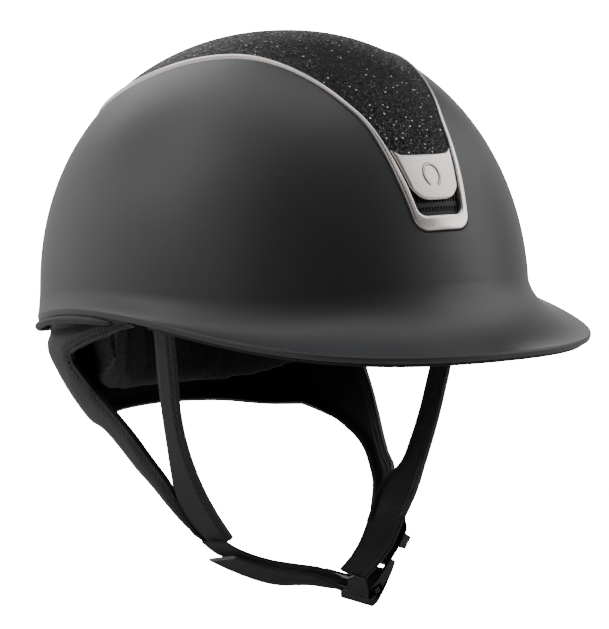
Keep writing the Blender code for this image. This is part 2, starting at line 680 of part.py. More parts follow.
def chin_strap():
    """Webbing from the right sleeve to the plug and its folded-back tail, the left webbing and the guard."""
    look = (WEBBING, 0.7)
    lean = 0.28
    upper_route = [(-46.6, -21, -109.4), (-27, -21, -116.4), (-10, -21, -120.8), (4, -21, -125.4),
                   (15.6, -21, -131.2)]
    webbing_solid("chin_webbing", upper_route, lean, look)
    tail_route = [(-48.5, -20, -114.0), (-35, -20, -119.6), (-20, -20, -125.6), (-7.5, -20, -130.0),
                  (3, -20, -134.0), (15.6, -20, -137.6)]
    webbing_solid("webbing_tail", tail_route, lean, look)
    left_route = [(59.0, -21, -103.2), (51.3, -21, -115.2), (47.2, -21, -121.6)]
    webbing_solid("left_webbing", left_route, 0, look, rows=5)
    guard_front = mirrored([(53.3, -33.4, -104.2), (46.8, -33, -116.5), (38.2, -32, -126.2),
                            (29.6, -31, -133.6)], 1)
    guard_rear = mirrored([(48.1, -7.9, -112.5), (43.2, -9, -120), (35.8, -10.5, -127),
                           (29.2, -11.5, -131.4)], 1)
    strap_solid("chin_guard", guard_front, guard_rear, GUARD_WALL, (LEATHER, 0.5), rows=9, bulge=0)


# Shell with its recess and vents
shell = shell_solid()
recess_angles = panel_angles(FRAME_FRONT, FRAME_REAR, 40)[:, None]
recess_half = rounded_half_width(recess_angles, FRAME_FRONT, FRAME_REAR, 0)
recess_x = recess_half * np.linspace(-1, 1, 13)[None, :]
recess = sheet_solid("recess_cutter", dome_side(recess_x, recess_angles, -6 * MM),
                     dome_side(recess_x, recess_angles, RECESS_DEPTH), (FOAM, 0.9))
cut(shell, recess, "Panel recess")
front_vent_cut = slot_cutter("front_vent_cutter", SLOT, 10 * MM)
rear_vent_cut = slot_cutter("rear_vent_cutter", REAR_SLOT, 22 * MM)
cut(shell, front_vent_cut, "Front vent")
cut(shell, rear_vent_cut, "Rear vent")

trim_frame()
badge_plate()
badge_emblem()
grille("front_vent_grille", SLOT, 11.2 * MM, (PLASTIC, 0.5))
grille("rear_vent_grille", REAR_SLOT, 23 * MM, (PLASTIC, 0.5))
inset_patch("top_panel", PLATE[1] + 1.0, REAR_SLOT[0] - 0.6, -0.6 * MM, RECESS_DEPTH - 0.9 * MM,
            (GLITTER, 0.6), rows=16, columns=9)

# Foam with its air channel
foam = foam_solid()
channel_angles = np.linspace(18, 156, 25)[:, None]
channel_x = 9 * MM * np.linspace(-1, 1, 3)[None, :]
channel = sheet_solid("channel_cutter", dome_side(channel_x, channel_angles, 0),
                      dome_side(channel_x, channel_angles, 10 * MM), (FOAM, 0.9))
cut(foam, channel, "Air channel")

liner_look = (LINER, 0.9)
liner_pad("brow_pad", -78, 78, 0.0, 0.30, liner_look)
for side, word in ((-1, "right"), (1, "left")):
    liner_pad("side_pad_" + word, side * 84, side * 128, 0.06, 0.42, liner_look, columns=9)
crown_theta = np.radians(np.linspace(0, 360, 25))[:-1][None, :]
crown_level = np.array((0.99, 0.96, 0.92, 0.88))[:, None]
crown_outer = dome(crown_theta, crown_level, PAD_OUTER)
crown_inner = dome(crown_theta, crown_level, PAD_INNER)
sheet_solid("crown_pad", crown_outer, crown_inner, liner_look, wrap=True)
for index, degrees in enumerate((-45, 45, -106, 106), 1):
    liner_pad("liner_fastener_%d" % index, degrees - 7, degrees + 7, 0.12, 0.24, (PLASTIC, 0.8),
              outer=FOAM_INNER + 1.8 * MM, inner=PAD_OUTER - 0.6 * MM, columns=4, rows=3)


def nape_pad():
    """Ribbed comfort pad inside the rear of the helmet, hanging down over the nape panel."""
    degrees = np.linspace(94, 266, 33)
    theta = np.radians(degrees)
    away = 180 - np.abs(degrees - 180)
    low = np.interp(away, (94, 110, 125, 145, 180), (-6, -28, -37, -46, -50)) * MM
    low_end = -8 * MM
    outer, inner = [], []
    for t in np.linspace(0, 1, 6):
        z = mix(5 * MM, low, t)
        drop = np.clip((low_end - z) / (42 * MM), 0, 1)
        for target, inset in ((outer, 0), (inner, NAPE_PAD_WALL)):
            half = mix(HALF_WIDTH - PAD_OUTER, 73.5 * MM, drop) - inset
            rear = mix(REAR_LENGTH - PAD_OUTER, 103 * MM, drop) - inset
            power = mix(PLAN_POWER, 2.5, drop)
            x = half * signed_power(np.sin(theta), 2 / power)
            y = -rear * signed_power(np.cos(theta), 2 / power)
            target.append(np.stack([x, y, z + 0 * x], -1))
    return sheet_solid("nape_pad", np.array(outer), np.array(inner), liner_look)


nape_pad()
nape_panel("nape_panel", (LEATHER, 0.5))

# Piping bead along the rear rim
bead_theta = np.radians(np.linspace(98, 262, 41))
bead_x, bead_y = plan(bead_theta, 0.4 * MM)
bead_centre = np.stack([bead_x, bead_y, rim_height(bead_theta) - BEAD_RADIUS - GAP], -1)
bead_out = np.stack([bead_x, bead_y, 0 * bead_x], -1)
bead_out /= np.linalg.norm(bead_out, axis=1)[:, None]
bead_turn = np.linspace(0, 2 * math.pi, 7)[:-1]
bead_up = np.array((0, 0, 1))
bead_rings = [bead_centre + BEAD_RADIUS * (math.cos(a) * bead_out + math.sin(a) * bead_up) for a in bead_turn]
bead_sections = np.stack(bead_rings, 1)
ring_solid("rear_piping", bead_sections, (LEATHER, 0.45))

# Lining under the peak
peak_theta = np.radians(np.linspace(-70, 70, 25))[None, :]
peak_rows = np.linspace(0.10, 1.02, 5)[:, None]
peak_reach = flare(peak_theta)
peak_foot = rim_height(peak_theta)
peak_fillet = np.maximum(8 * MM + 0.45 * peak_reach, WIDEST_LEVEL - peak_foot)
peak_rise = peak_fillet * np.sin(peak_rows) ** (2 / FLARE_POWER)
peak_out = (peak_reach + 2.2 * MM) * np.cos(peak_rows) ** (2 / FLARE_POWER)
peak_x, peak_y = plan(peak_theta, SHELL_WALL)
peak_spread = np.hypot(peak_x, peak_y)
peak_stretch = 1 + peak_out / peak_spread
peak_height = peak_foot + 0.2 * MM + peak_rise
peak_under = np.stack(np.broadcast_arrays(peak_x * peak_stretch, peak_y * peak_stretch, peak_height), -1)
sheet_solid("peak_lining", peak_under - (0, 0, 0.9 * MM), peak_under - (0, 0, 2.1 * MM), (LEATHER, 0.7))

for side, word in ((-1, "right"), (1, "left")):
    harness_side(side, word)

# Chin strap
chin_strap()
buckle()
slider()
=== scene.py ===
"""Equestrian riding helmet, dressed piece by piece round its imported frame.

Frame: +Z up, the peak at -Y, the wearer's right at -X and left at +X. Lengths are in metres.
"""
import math

import bmesh
import bpy
import numpy as np
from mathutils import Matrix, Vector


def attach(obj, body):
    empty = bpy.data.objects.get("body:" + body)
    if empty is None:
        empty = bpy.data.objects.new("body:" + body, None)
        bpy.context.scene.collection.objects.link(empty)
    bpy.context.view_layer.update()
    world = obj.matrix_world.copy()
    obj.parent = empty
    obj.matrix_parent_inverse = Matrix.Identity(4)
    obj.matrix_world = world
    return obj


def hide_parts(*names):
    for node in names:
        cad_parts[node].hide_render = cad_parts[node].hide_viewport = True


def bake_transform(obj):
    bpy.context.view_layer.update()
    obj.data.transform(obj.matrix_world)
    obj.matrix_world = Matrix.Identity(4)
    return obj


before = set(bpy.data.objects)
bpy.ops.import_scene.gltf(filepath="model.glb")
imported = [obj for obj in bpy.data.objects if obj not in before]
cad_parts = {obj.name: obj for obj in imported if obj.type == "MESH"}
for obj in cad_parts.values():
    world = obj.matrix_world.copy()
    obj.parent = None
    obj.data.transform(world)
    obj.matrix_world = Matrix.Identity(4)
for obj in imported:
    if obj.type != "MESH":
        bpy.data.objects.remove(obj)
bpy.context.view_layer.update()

# ---------------------------------------------------------------- Shell
# The real shell is injection-moulded plastic about 4.5 mm thick, with the peak in one piece,
# sprayed with a matt anthracite lacquer. A shallow recess over the crown takes the framed panel.
MM = 0.001
HALF_WIDTH, FRONT_LENGTH, REAR_LENGTH = 107 * MM, 135 * MM, 138 * MM
WIDEST_LEVEL, CROWN_HEIGHT = 8 * MM, 137 * MM
CENTRE_Y, CROWN_SHIFT = -3.5 * MM, 7.5 * MM
PLAN_POWER, HEIGHT_POWER, FLARE_POWER = 2.1, 2.09, 2 / 0.62
SHELL_WALL, LIP = 4.5 * MM, 3.0 * MM
# The inner face flares a little further than the outer one, and starts a little above the lip's foot
INNER_FLARE, INNER_START = 2.2 * MM, 0.2 * MM


def signed_power(value, power):
    """The size of each value raised to a power, with the value's sign kept."""
    return np.sign(value) * np.abs(value) ** power


def mix(a, b, share):
    """Straight blend: a where share is 0, b where share is 1."""
    return a + (b - a) * share


def ease(value, start, stop):
    """Smooth step from 0 at start to 1 at stop: three squares less two cubes."""
    t = np.clip((value - start) / (stop - start), 0, 1)
    return t * t * (3 - 2 * t)


def plan(theta, inset=0.0):
    """Widest outline: a superellipse of half width 107 mm, 135 mm to the front and 138 mm to the rear."""
    cosine = np.cos(theta)
    length = np.where(cosine > 0, FRONT_LENGTH, REAR_LENGTH) - inset
    x = (HALF_WIDTH - inset) * signed_power(np.sin(theta), 2 / PLAN_POWER)
    return x, -length * signed_power(cosine, 2 / PLAN_POWER)


def dome(theta, fall, inset=0.0):
    """Dome: the plan outline shrinks by sin(fall) and rises by cos(fall), both to a superellipse power."""
    x, y = plan(theta, inset)
    radius = np.sin(fall) ** (2 / HEIGHT_POWER)
    level = np.cos(fall) ** (2 / HEIGHT_POWER)
    z = WIDEST_LEVEL + (CROWN_HEIGHT - WIDEST_LEVEL - inset) * level
    y = y * radius - CROWN_SHIFT * level * (1 - radius)
    return np.stack(np.broadcast_arrays(x * radius, y, z), -1)


def level_at(z, inset=0.0):
    """Share of the dome's height at z, from 0 at its widest to 1 at the crown."""
    return np.clip((z - WIDEST_LEVEL) / (CROWN_HEIGHT - WIDEST_LEVEL - inset), 0, 1)


def fall_at(level):
    """The dome's fall at a level: the inverse of the level's superellipse power."""
    return np.arccos(level ** (HEIGHT_POWER / 2))


def rim_height(theta):
    """Height of the lower edge round the head: a cosine series."""
    return sum(a * MM * np.cos(k * theta) for k, a in enumerate((-4.0, 5.7, -7.0, -1.0, 2.2)))


def flare(theta):
    """How far the lower edge stands out: 41 mm in front, fading past the temples."""
    return 41 * MM / (1 + (np.degrees(np.abs(theta)) / 48.5) ** 3.57)


def over_crown(x, degrees, inset=0.0):
    """Dome point at side distance x, seen at an angle over the crown (0 front, 90 top, 180 back).

    The distance from the centre is halved into until the point lies on the dome.
    """
    x, angle = np.broadcast_arrays(np.asarray(x, float), np.radians(np.asarray(degrees, float)))
    inset = np.broadcast_to(np.asarray(inset, float), x.shape)
    low, high = np.zeros(x.shape), np.full(x.shape, 0.2)
    for _ in range(36):
        reach = (low + high) / 2
        level = np.clip(reach * np.sin(angle) / (CROWN_HEIGHT - WIDEST_LEVEL - inset), 0, 1)
        radius = (1 - level ** HEIGHT_POWER) ** (1 / HEIGHT_POWER)
        local = CENTRE_Y - reach * np.cos(angle) + CROWN_SHIFT * level * (1 - radius)
        length = np.where(local < 0, FRONT_LENGTH, REAR_LENGTH) - inset
        size = (np.abs(x) / (HALF_WIDTH - inset)) ** PLAN_POWER + (np.abs(local) / length) ** PLAN_POWER
        inside = size < radius ** PLAN_POWER
        low, high = np.where(inside, reach, low), np.where(inside, high, reach)
    return np.stack([x, CENTRE_Y - reach * np.cos(angle), WIDEST_LEVEL + reach * np.sin(angle)], -1)


def curve(keys, values, at):
    """Smooth curve through a few values: cubic pieces whose slopes are averaged at each key."""
    keys, values = np.array(keys, float), np.array(values, float)
    slopes = np.gradient(values, keys, axis=0)
    at = np.clip(at, keys[0], keys[-1])
    i = np.clip(np.searchsorted(keys, at, side="right") - 1, 0, len(keys) - 2)
    width = keys[i + 1] - keys[i]
    t = (at - keys[i]) / width
    if values.ndim > 1:
        t, width = t[..., None], width[..., None]
    return ((2 * t**3 - 3 * t**2 + 1) * values[i] + (t**3 - 2 * t**2 + t) * width * slopes[i]
            + (3 * t**2 - 2 * t**3) * values[i + 1] + (t**3 - t**2) * width * slopes[i + 1])


def panel_half_width(degrees):
    """Half width of the crown recess at an angle over the crown: narrow in front, widest behind the top."""
    keys = (17, 22, 28, 36, 43, 50, 60, 75, 90, 104, 118, 134, 146, 153)
    widths = (14.6, 16.3, 18.4, 20.8, 23.2, 28.0, 34.2, 42.6, 52.0, 59.6, 62.0, 55.0, 40.0, 32.0)
    return MM * curve(keys, widths, degrees)


def run_length(line):
    """Length along a line of points, from its start to each."""
    return np.r_[0, np.cumsum(np.linalg.norm(np.diff(line, axis=0), axis=1))]


def unit(vectors):
    """Vectors at length 1."""
    return vectors / np.linalg.norm(vectors, axis=-1)[..., None]


def panel_loop(first, last, half_width, corner, ends=9, turns=9, sides=150):
    """Closed loop (x, angle) round the panel: straight ends, quarter-circle corners, sides on half_width."""
    step = corner / (2.3 * MM)
    sweep = np.linspace(0, math.pi / 2, turns + 1)[1:-1]
    low, high = first + step * (1 - np.cos(sweep)), last - step * (1 - np.cos(sweep[::-1]))
    side = np.linspace(first + step, last - step, sides)
    front = (half_width(first + step) - corner) * np.linspace(0, 1, ends)
    back = (half_width(last - step) - corner) * np.linspace(1, 0, ends)
    angle = np.r_[np.full(ends, first), low, side, high, np.full(ends, last)]
    x = np.r_[front, half_width(low) - corner * (1 - np.sin(sweep)), half_width(side),
              half_width(high) - corner * (1 - np.sin(sweep[::-1])), back]
    return np.r_[x, -x[-2::-1]], np.r_[angle, angle[-2::-1]]


def grid_cells(points):
    """Four-sided cells of a grid of points, numbered row by row."""
    rows, columns = points.shape[:2]
    index = np.arange(rows * columns).reshape(rows, columns)
    return np.stack([index[:-1, :-1], index[:-1, 1:], index[1:, 1:], index[1:, :-1]], -1)


def piece_of(name, points, cells):
    """Object at the origin, with a mesh of points and four-sided cells."""
    mesh = bpy.data.meshes.new(name)
    mesh.from_pydata(points.reshape(-1, 3).tolist(), [], cells.reshape(-1, 4).tolist())
    piece = bpy.data.objects.new(name, mesh)
    bpy.context.scene.collection.objects.link(piece)
    return piece


def sew(mesh, distance, closed=False):
    """Merge points this close and make the faces agree, outwards where the mesh is closed."""
    work = bmesh.new()
    work.from_mesh(mesh)
    bmesh.ops.remove_doubles(work, verts=work.verts, dist=distance)
    bmesh.ops.recalc_face_normals(work, faces=work.faces)
    if closed and work.calc_volume(signed=True) < 0:
        bmesh.ops.reverse_faces(work, faces=work.faces)
    work.to_mesh(mesh)
    work.free()


def surface(name, points, uv=None, sharp=35):
    """Closed mesh on a grid of points: rows and columns that meet are sewn, faces point outwards."""
    cells = grid_cells(points)
    piece = piece_of(name, points, cells)
    mesh = piece.data
    if uv is not None:
        mesh.uv_layers.new(name="UVMap").data.foreach_set("uv", uv.reshape(-1, 2)[cells.ravel()].ravel())
    sew(mesh, 2e-6, closed=True)
    mesh.shade_smooth()
    mesh.set_sharp_from_angle(angle=math.radians(sharp))
    return piece


def fit(piece, finish, slot, *nodes, body="root"):
    """Give a piece its finish and its body, and hide the frame nodes that it stands for. The slot argument is
    not used.
    """
    piece.data.materials.append(finish.material)
    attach(piece, body)
    if nodes:
        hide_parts(*nodes)
    return piece


class Value:
    """A socket's number, with Python's operators adding Math nodes."""

    def __init__(self, finish, socket):
        self.finish = finish
        self.socket = socket

    def math(self, operation, *others):
        inputs = dict(enumerate((self, *others)))
        return self.finish.node("ShaderNodeMath", {"operation": operation}, inputs)[0]

    def __add__(self, other):
        return self.math("ADD", other)

    def __sub__(self, other):
        return self.math("SUBTRACT", other)

    def __rsub__(self, other):
        return self.finish.node("ShaderNodeMath", {"operation": "SUBTRACT"}, {0: other, 1: self})[0]

    def __mul__(self, other):
        return self.math("MULTIPLY", other)

    def __pow__(self, other):
        return self.math("POWER", other)

    __radd__ = __add__
    __rmul__ = __mul__


class Finish:
    """A Principled material whose other nodes come from node()."""

    def __init__(self, name, **sockets):
        self.material = bpy.data.materials.new(name)
        self.material.use_nodes = True
        self.tree = self.material.node_tree
        self.shader = self.tree.nodes["Principled BSDF"]
        self.shade(**sockets)

    def feed(self, socket, value):
        """Link a Value to a socket, or set the socket's constant."""
        if isinstance(value, Value):
            self.tree.links.new(value.socket, socket)
        elif socket.type == "RGBA" and len(value) == 3:
            socket.default_value = (*value, 1)
        else:
            socket.default_value = value

    def node(self, kind, settings, inputs):
        """Add a node: its settings first, then its sockets. Gives its outputs."""
        node = self.tree.nodes.new(kind)
        for key, value in settings.items():
            setattr(node, key, value)
        for socket, value in inputs.items():
            self.feed(node.inputs[socket], value)
        return [Value(self, socket) for socket in node.outputs]

    def place(self, kind="Object"):
        """Coordinates: Object, or UV for the piece's own map."""
        names = ("Generated", "Normal", "UV", "Object")
        return self.node("ShaderNodeTexCoord", {}, {})[names.index(kind)]

    def scaled(self, where, scale):
        """Coordinates stretched by three factors."""
        return self.node("ShaderNodeVectorMath", {"operation": "MULTIPLY"}, {0: where, 1: scale})[0]

    def parts(self, where):
        """The x, y and z of coordinates."""
        return self.node("ShaderNodeSeparateXYZ", {}, {0: where})

    def noise(self, where, scale, detail=2.0, roughness=0.5):
        """Cloudy noise from 0 to 1."""
        return self.node("ShaderNodeTexNoise", {},
                         {"Vector": where, "Scale": scale, "Detail": detail, "Roughness": roughness})[0]

    def voronoi(self, where, scale, feature="F1"):
        """Cells: distance, colour and place of the nearest one, or distance to the edge."""
        return self.node("ShaderNodeTexVoronoi", {"feature": feature}, {"Vector": where, "Scale": scale})

    def blend(self, share, a, b):
        """Colour blend from a to b."""
        return self.node("ShaderNodeMix", {"data_type": "RGBA"}, {0: share, 6: a, 7: b})[2]

    def step(self, value, low, high):
        """0 below low, 1 above high, smooth between."""
        return self.node("ShaderNodeMapRange", {"interpolation_type": "SMOOTHSTEP"},
                         {0: value, 1: low, 2: high})[0]

    def bump(self, height, distance, strength=1.0):
        """Feed a height field to the shader's normal."""
        inputs = {"Height": height, "Distance": distance, "Strength": strength}
        self.shade(Normal=self.node("ShaderNodeBump", {}, inputs)[0])

    def shade(self, **sockets):
        """Feed the Principled shader's sockets."""
        for socket, value in sockets.items():
            self.feed(self.shader.inputs[socket.replace("_", " ")], value)


def tint(colour, factor):
    """Colour made darker or lighter by a factor."""
    return tuple(c * factor for c in colour)


RECESS_FRONT, RECESS_REAR, RECESS_CORNER = 18.0, 152.0, 6.5 * MM
wall_x, wall_angle = panel_loop(RECESS_FRONT, RECESS_REAR, panel_half_width, RECESS_CORNER)
edge = over_crown(wall_x, wall_angle)
level = level_at(edge[:, 2])
edge_fall = fall_at(level)
edge_radius = np.sin(edge_fall) ** (2 / HEIGHT_POWER)
local_x = edge[:, 0] / edge_radius
local_y = (edge[:, 1] + CROWN_SHIFT * level * (1 - edge_radius)) / edge_radius
local_length = np.where(local_y < 0, FRONT_LENGTH, REAR_LENGTH)
edge_theta = np.arctan2(signed_power(local_x / HALF_WIDTH, PLAN_POWER / 2),
                        signed_power(-local_y / local_length, PLAN_POWER / 2))
# The lower loop is spread by the length of the recess's outline, so that every column leaves it squarely
walked = run_length(edge)
theta = 2 * math.pi * walked / walked[-1]
theta = theta - 0.10 * np.sin(2 * theta) + 0.06 * np.sin(theta)
signed_theta = np.where(theta > math.pi, theta - 2 * math.pi, theta)
reach, foot = flare(signed_theta), rim_height(theta)
fillet = np.maximum(8 * MM + 0.45 * reach, WIDEST_LEVEL - foot)
flare_fall = fall_at(level_at(foot + LIP + fillet))


def shell_side(height, out, inset):
    """Ring of the lower shell: the dome's outline at a height, pushed out from the middle."""
    ring = dome(theta, fall_at(level_at(height, inset)), inset)
    ring[:, 2] = height
    ring[:, :2] *= (1 + out / np.hypot(ring[:, 0], ring[:, 1]))[:, None]
    return ring


rings = [over_crown(wall_x * s, wall_angle, 2.5 * MM) for s in np.linspace(0, 1, 9)]
rings += [over_crown(wall_x, wall_angle, depth * MM) for depth in (1.9, 1.2, 0.6)]
# Polar plane of the dome: distance from its centre is the fall from the crown, direction is theta
start_u, start_v = edge_fall * np.sin(edge_theta), -edge_fall * np.cos(edge_theta)
stop_u, stop_v = flare_fall * np.sin(theta), -flare_fall * np.cos(theta)
plane_length = 118 * MM * np.hypot(stop_u - start_u, stop_v - start_v)


def skin(share, sink=0.0):
    """Ring of the outer skin, a share of the way from the recess to the flare over the polar plane."""
    u, v = mix(start_u, stop_u, share), mix(start_v, stop_v, share)
    return dome(np.arctan2(u, -v), np.hypot(u, v), sink)


ROUNDING, ROUNDED_TO = 0.45 * MM, 0.65
for away in (0.0, 0.15, 0.35, 0.65, 1.1, 2.0, 3.5):
    rings.append(skin(away * MM / plane_length, ROUNDING * (1 - min(away / ROUNDED_TO, 1)) ** 2))
for share in np.linspace(0, 1, 60)[1:] ** 1.15:
    rings.append(skin(mix(3.5 * MM / plane_length, 1, share)))
brim = ease(reach, 4 * MM, 14 * MM)
for t in np.linspace(math.pi / 2, 0, 27)[1:]:
    rise = math.sin(t) ** FLARE_POWER
    out = mix((1 - rise) ** 2, math.cos(t) ** FLARE_POWER, brim)
    rings.append(shell_side(foot + LIP + fillet * rise, reach * out, 0))
lip_bulge = 0.9 * np.clip(reach / (20 * MM), 0, 1)
for t in np.linspace(0, math.pi, 11)[1:-1]:
    out = reach + (lip_bulge * math.sin(t) - 0.3 * (1 - math.cos(t))) * MM
    rings.append(shell_side(foot + LIP / 2 * (1 + math.cos(t)), out, 0))
for t in np.linspace(0, math.pi / 2, 14):
    rise, out = fillet * math.sin(t) ** FLARE_POWER, (reach + INNER_FLARE) * math.cos(t) ** FLARE_POWER
    rings.append(shell_side(foot + INNER_START + rise, out, SHELL_WALL))
inner_fall = fall_at(level_at(foot + fillet, SHELL_WALL))
for share in np.linspace(1, 0, 24)[1:]:
    rings.append(dome(theta, inner_fall * share, SHELL_WALL))
shell = surface("helmet_shell", np.array(rings), sharp=50)

lacquer = Finish("matt_anthracite_lacquer", Base_Color=(0.0445, 0.0462, 0.0495), Roughness=0.44,
                 Specular_IOR_Level=0.5, Coat_Weight=0.10, Coat_Roughness=0.30)
spot = lacquer.place()
grain = lacquer.noise(spot, 2600.0, 3.0, 0.6)
cloud = lacquer.noise(spot, 28.0, 4.0)
lacquer.shade(Base_Color=lacquer.blend(cloud, (0.0405, 0.0420, 0.0455), (0.0490, 0.0508, 0.0545)),
              Roughness=0.40 + 0.05 * cloud + 0.06 * grain)
lacquer.bump(grain, 0.05 * MM, 0.35)
fit(shell, lacquer, "shell_lacquer", "outer_shell")

# ---------------------------------------------------------------- Peak lining
# Dark grained sheet glued under the peak, a little short of the lip.
peak_theta = np.radians(np.linspace(-72, 72, 121))[None, :]
peak_foot, peak_reach = rim_height(peak_theta), flare(peak_theta)
peak_fillet = np.maximum(8 * MM + 0.45 * peak_reach, WIDEST_LEVEL - peak_foot)
peak_t = np.linspace(0.10, 1.02, 22)[:, None]
peak_x, peak_y = plan(peak_theta, SHELL_WALL)
stretch = 1 + (peak_reach + INNER_FLARE) * np.cos(peak_t) ** FLARE_POWER / np.hypot(peak_x, peak_y)
peak_z = peak_foot + INNER_START + peak_fillet * np.sin(peak_t) ** FLARE_POWER
under = np.stack(np.broadcast_arrays(peak_x * stretch, peak_y * stretch, peak_z), -1)
peak_section = np.concatenate([under - (0, 0, 0.8 * MM), (under - (0, 0, 1.9 * MM))[::-1],
                               (under - (0, 0, 0.8 * MM))[:1]])
lining = surface("peak_underside_lining", peak_section)


def leather(name, colour, roughness=0.52, pebble=1.0, scale=1500.0):
    """Grained synthetic leather: Voronoi cells with soft creases between, painted shade in the creases, and a
    slow colour drift.
    """
    finish = Finish(name, Base_Color=colour, Roughness=roughness, Specular_IOR_Level=0.45)
    where = finish.place()
    drawn = finish.node("ShaderNodeTexNoise", {}, {"Vector": where, "Scale": 700.0})[1]
    bent = finish.node("ShaderNodeVectorMath", {"operation": "ADD"},
                       {0: where, 1: finish.scaled(drawn, (0.0005,) * 3)})[0]
    cells = finish.voronoi(bent, scale, "DISTANCE_TO_EDGE")[0]
    crease = finish.step(cells, 0.0, 0.16)
    drift = finish.noise(where, 55.0, 4.0)
    fine = finish.noise(where, 3800.0, 2.0)
    # Painted shade: the colour darkens towards the creases between the grain cells. The drift noise changes the
    # tone at random.
    finish.shade(Base_Color=finish.blend(crease * (0.45 + 0.55 * drift), tint(colour, 0.72), colour),
                 Roughness=roughness + 0.10 * drift - 0.06 * crease)
    finish.bump(crease * pebble + 0.35 * fine, 0.07 * MM, 0.55)
    return finish


fit(lining, leather("peak_lining_leatherette", (0.020, 0.021, 0.023), 0.6), "leather_look", "peak_lining")

# ---------------------------------------------------------------- Frame, vents, badge and top panel
# The frame is one cast and polished ring with a warm silver plating, clipped into the recess. It
# carries the shield plate in front, two perforated vent strips, and the fabric-covered top panel.
OPENING_FRONT, OPENING_REAR = 21.3, 149.0


def opening_half_width(degrees):
    """Half width inside the frame: the rails widen from 1.7 mm towards both ends."""
    ends = np.clip((50 - degrees) / 22, 0, 1) ** 1.5 + np.clip((degrees - 130) / 20, 0, 1)
    return panel_half_width(degrees) - (1.9 + 1.9 * ends) * MM


rail_x, rail_angle = panel_loop(RECESS_FRONT + 0.24, RECESS_REAR - 0.24,
                                lambda a: panel_half_width(a) - 0.6 * MM, RECESS_CORNER - 0.5 * MM)
hole_x, hole_angle = panel_loop(OPENING_FRONT, OPENING_REAR, opening_half_width, 4.2 * MM)
# Section of the rail: share of the way inwards, height above the dome in millimetres
RAIL_SECTION = [(0, -2.1), (0, 0.35), (0.02, 0.70), (0.06, 0.95), (0.13, 1.09), (0.22, 1.14),
                (0.36, 1.13), (0.52, 1.10), (0.68, 1.08), (0.80, 1.06), (0.89, 0.98), (0.95, 0.80),
                (0.99, 0.45), (1, -0.1), (1, -2.1), (0, -2.1)]
band = np.stack([over_crown(mix(rail_x, hole_x, t), mix(rail_angle, hole_angle, t), -h * MM)
                 for t, h in RAIL_SECTION])
trim = surface("polished_frame", band, sharp=50)

silver = Finish("polished_warm_silver", Base_Color=(0.90, 0.835, 0.80), Metallic=0.75, Roughness=0.2)
rub = silver.noise(silver.scaled(silver.place(), (1, 1, 6)), 240.0, 5.0, 0.6)
silver.shade(Roughness=0.20 + 0.06 * rub,
             Base_Color=silver.blend(rub, (0.88, 0.81, 0.775), (0.93, 0.865, 0.83)))
silver.bump(rub, 0.004 * MM, 0.08)
fit(trim, silver, "polished_trim", "trim_frame")

plate_v = np.linspace(-1, 1, 81)
ear = np.clip((np.abs(plate_v) - 0.80) / 0.20, 0, 1)
plate_low = 24.5 + 2.9 * np.abs(plate_v) ** 5
plate_high = 34.2 + 0.55 * np.abs(plate_v) ** 2 + 1.15 * ear ** 1.6
plate_t = np.linspace(0, 1, 41)[:, None]
plate_angle = mix(plate_low, plate_high, plate_t)
plate_x = (opening_half_width(plate_angle) - 1.05 * MM) * plate_v
brink = np.minimum((1 - np.abs(plate_v)) * 13, np.minimum(plate_t, 1 - plate_t) * 20)
plate_up = (0.50 + 0.75 * np.sqrt(np.clip(1 - (1 - np.clip(brink, 0, 1)) ** 2, 0, 1))
            - 0.35 * (1 - plate_v ** 2)) * MM
plate_top = over_crown(plate_x, plate_angle, -plate_up)
plate_back = over_crown(plate_x, plate_angle, -0.22 * MM)


def slab(name, top, back, **options):
    """Closed sheet between two matching grids, its four sides drawn straight from one to the other."""
    top = np.concatenate([back[:, :1], top, back[:, -1:]], 1)
    back = np.concatenate([back[:, :1], back, back[:, -1:]], 1)
    return surface(name, np.concatenate([back[:1], top, back[::-1]]), **options)


plate = slab("badge_shield", plate_top, plate_back, sharp=45)
brushed = Finish("satin_warm_silver", Base_Color=(0.89, 0.84, 0.79), Metallic=0.75, Roughness=0.28)
hair = brushed.noise(brushed.scaled(brushed.place(), (1, 14, 14)), 900.0, 4.0, 0.7)
brushed.shade(Roughness=0.24 + 0.10 * hair,
              Base_Color=brushed.blend(hair, (0.86, 0.805, 0.755), (0.92, 0.865, 0.82)))
brushed.bump(hair, 0.008 * MM, 0.2)
fit(plate, brushed, "polished_trim", "badge_plate")

# Plain horseshoe, a raised round wire with a dark strip laid on the plate along each side of it: painted shade
# where the wire meets the plate
SHOE_HALF_WIDTH, SHOE_MIDDLE, SHOE_HALF_HEIGHT = 4.3, 29.6, 5.4
shoe_t = np.radians(np.linspace(-148, 148, 61))
shoe_x, shoe_rise = SHOE_HALF_WIDTH * MM * np.sin(shoe_t), 2.35 * np.cos(shoe_t)


def horseshoe(thickness, lift, steps=9):
    """Half-round wire along the horseshoe: across it the height follows a half circle."""
    across = np.linspace(-1, 1, steps)[:, None]
    x = shoe_x * (1 + across * thickness / SHOE_HALF_WIDTH)
    degrees = SHOE_MIDDLE + shoe_rise * (1 + across * thickness / SHOE_HALF_HEIGHT)
    plate_face = 1.21 - 0.35 * (1 - (x / opening_half_width(degrees)) ** 2)
    crown = (plate_face + lift * np.sqrt(1 - across ** 2)) * MM
    return over_crown(x, degrees, -crown), over_crown(x, degrees, -0.6 * MM)


emblem = slab("badge_horseshoe", *horseshoe(0.52, 0.45), sharp=50)
fit(emblem, brushed, "polished_trim", "badge_emblem")
# Painted shade: a dark strip just above the plate, wider than the wire, outlines the horseshoe.
groove = slab("badge_shadow_outline", *horseshoe(0.95, 0.16, 5), sharp=50)
outline_shading = Finish("horseshoe_outline_shade", Base_Color=(0.03, 0.028, 0.027), Roughness=0.35)
outline_shading.shade(Roughness=0.30 + 0.2 * outline_shading.noise(outline_shading.place(), 900.0))
fit(groove, outline_shading, "polished_trim")


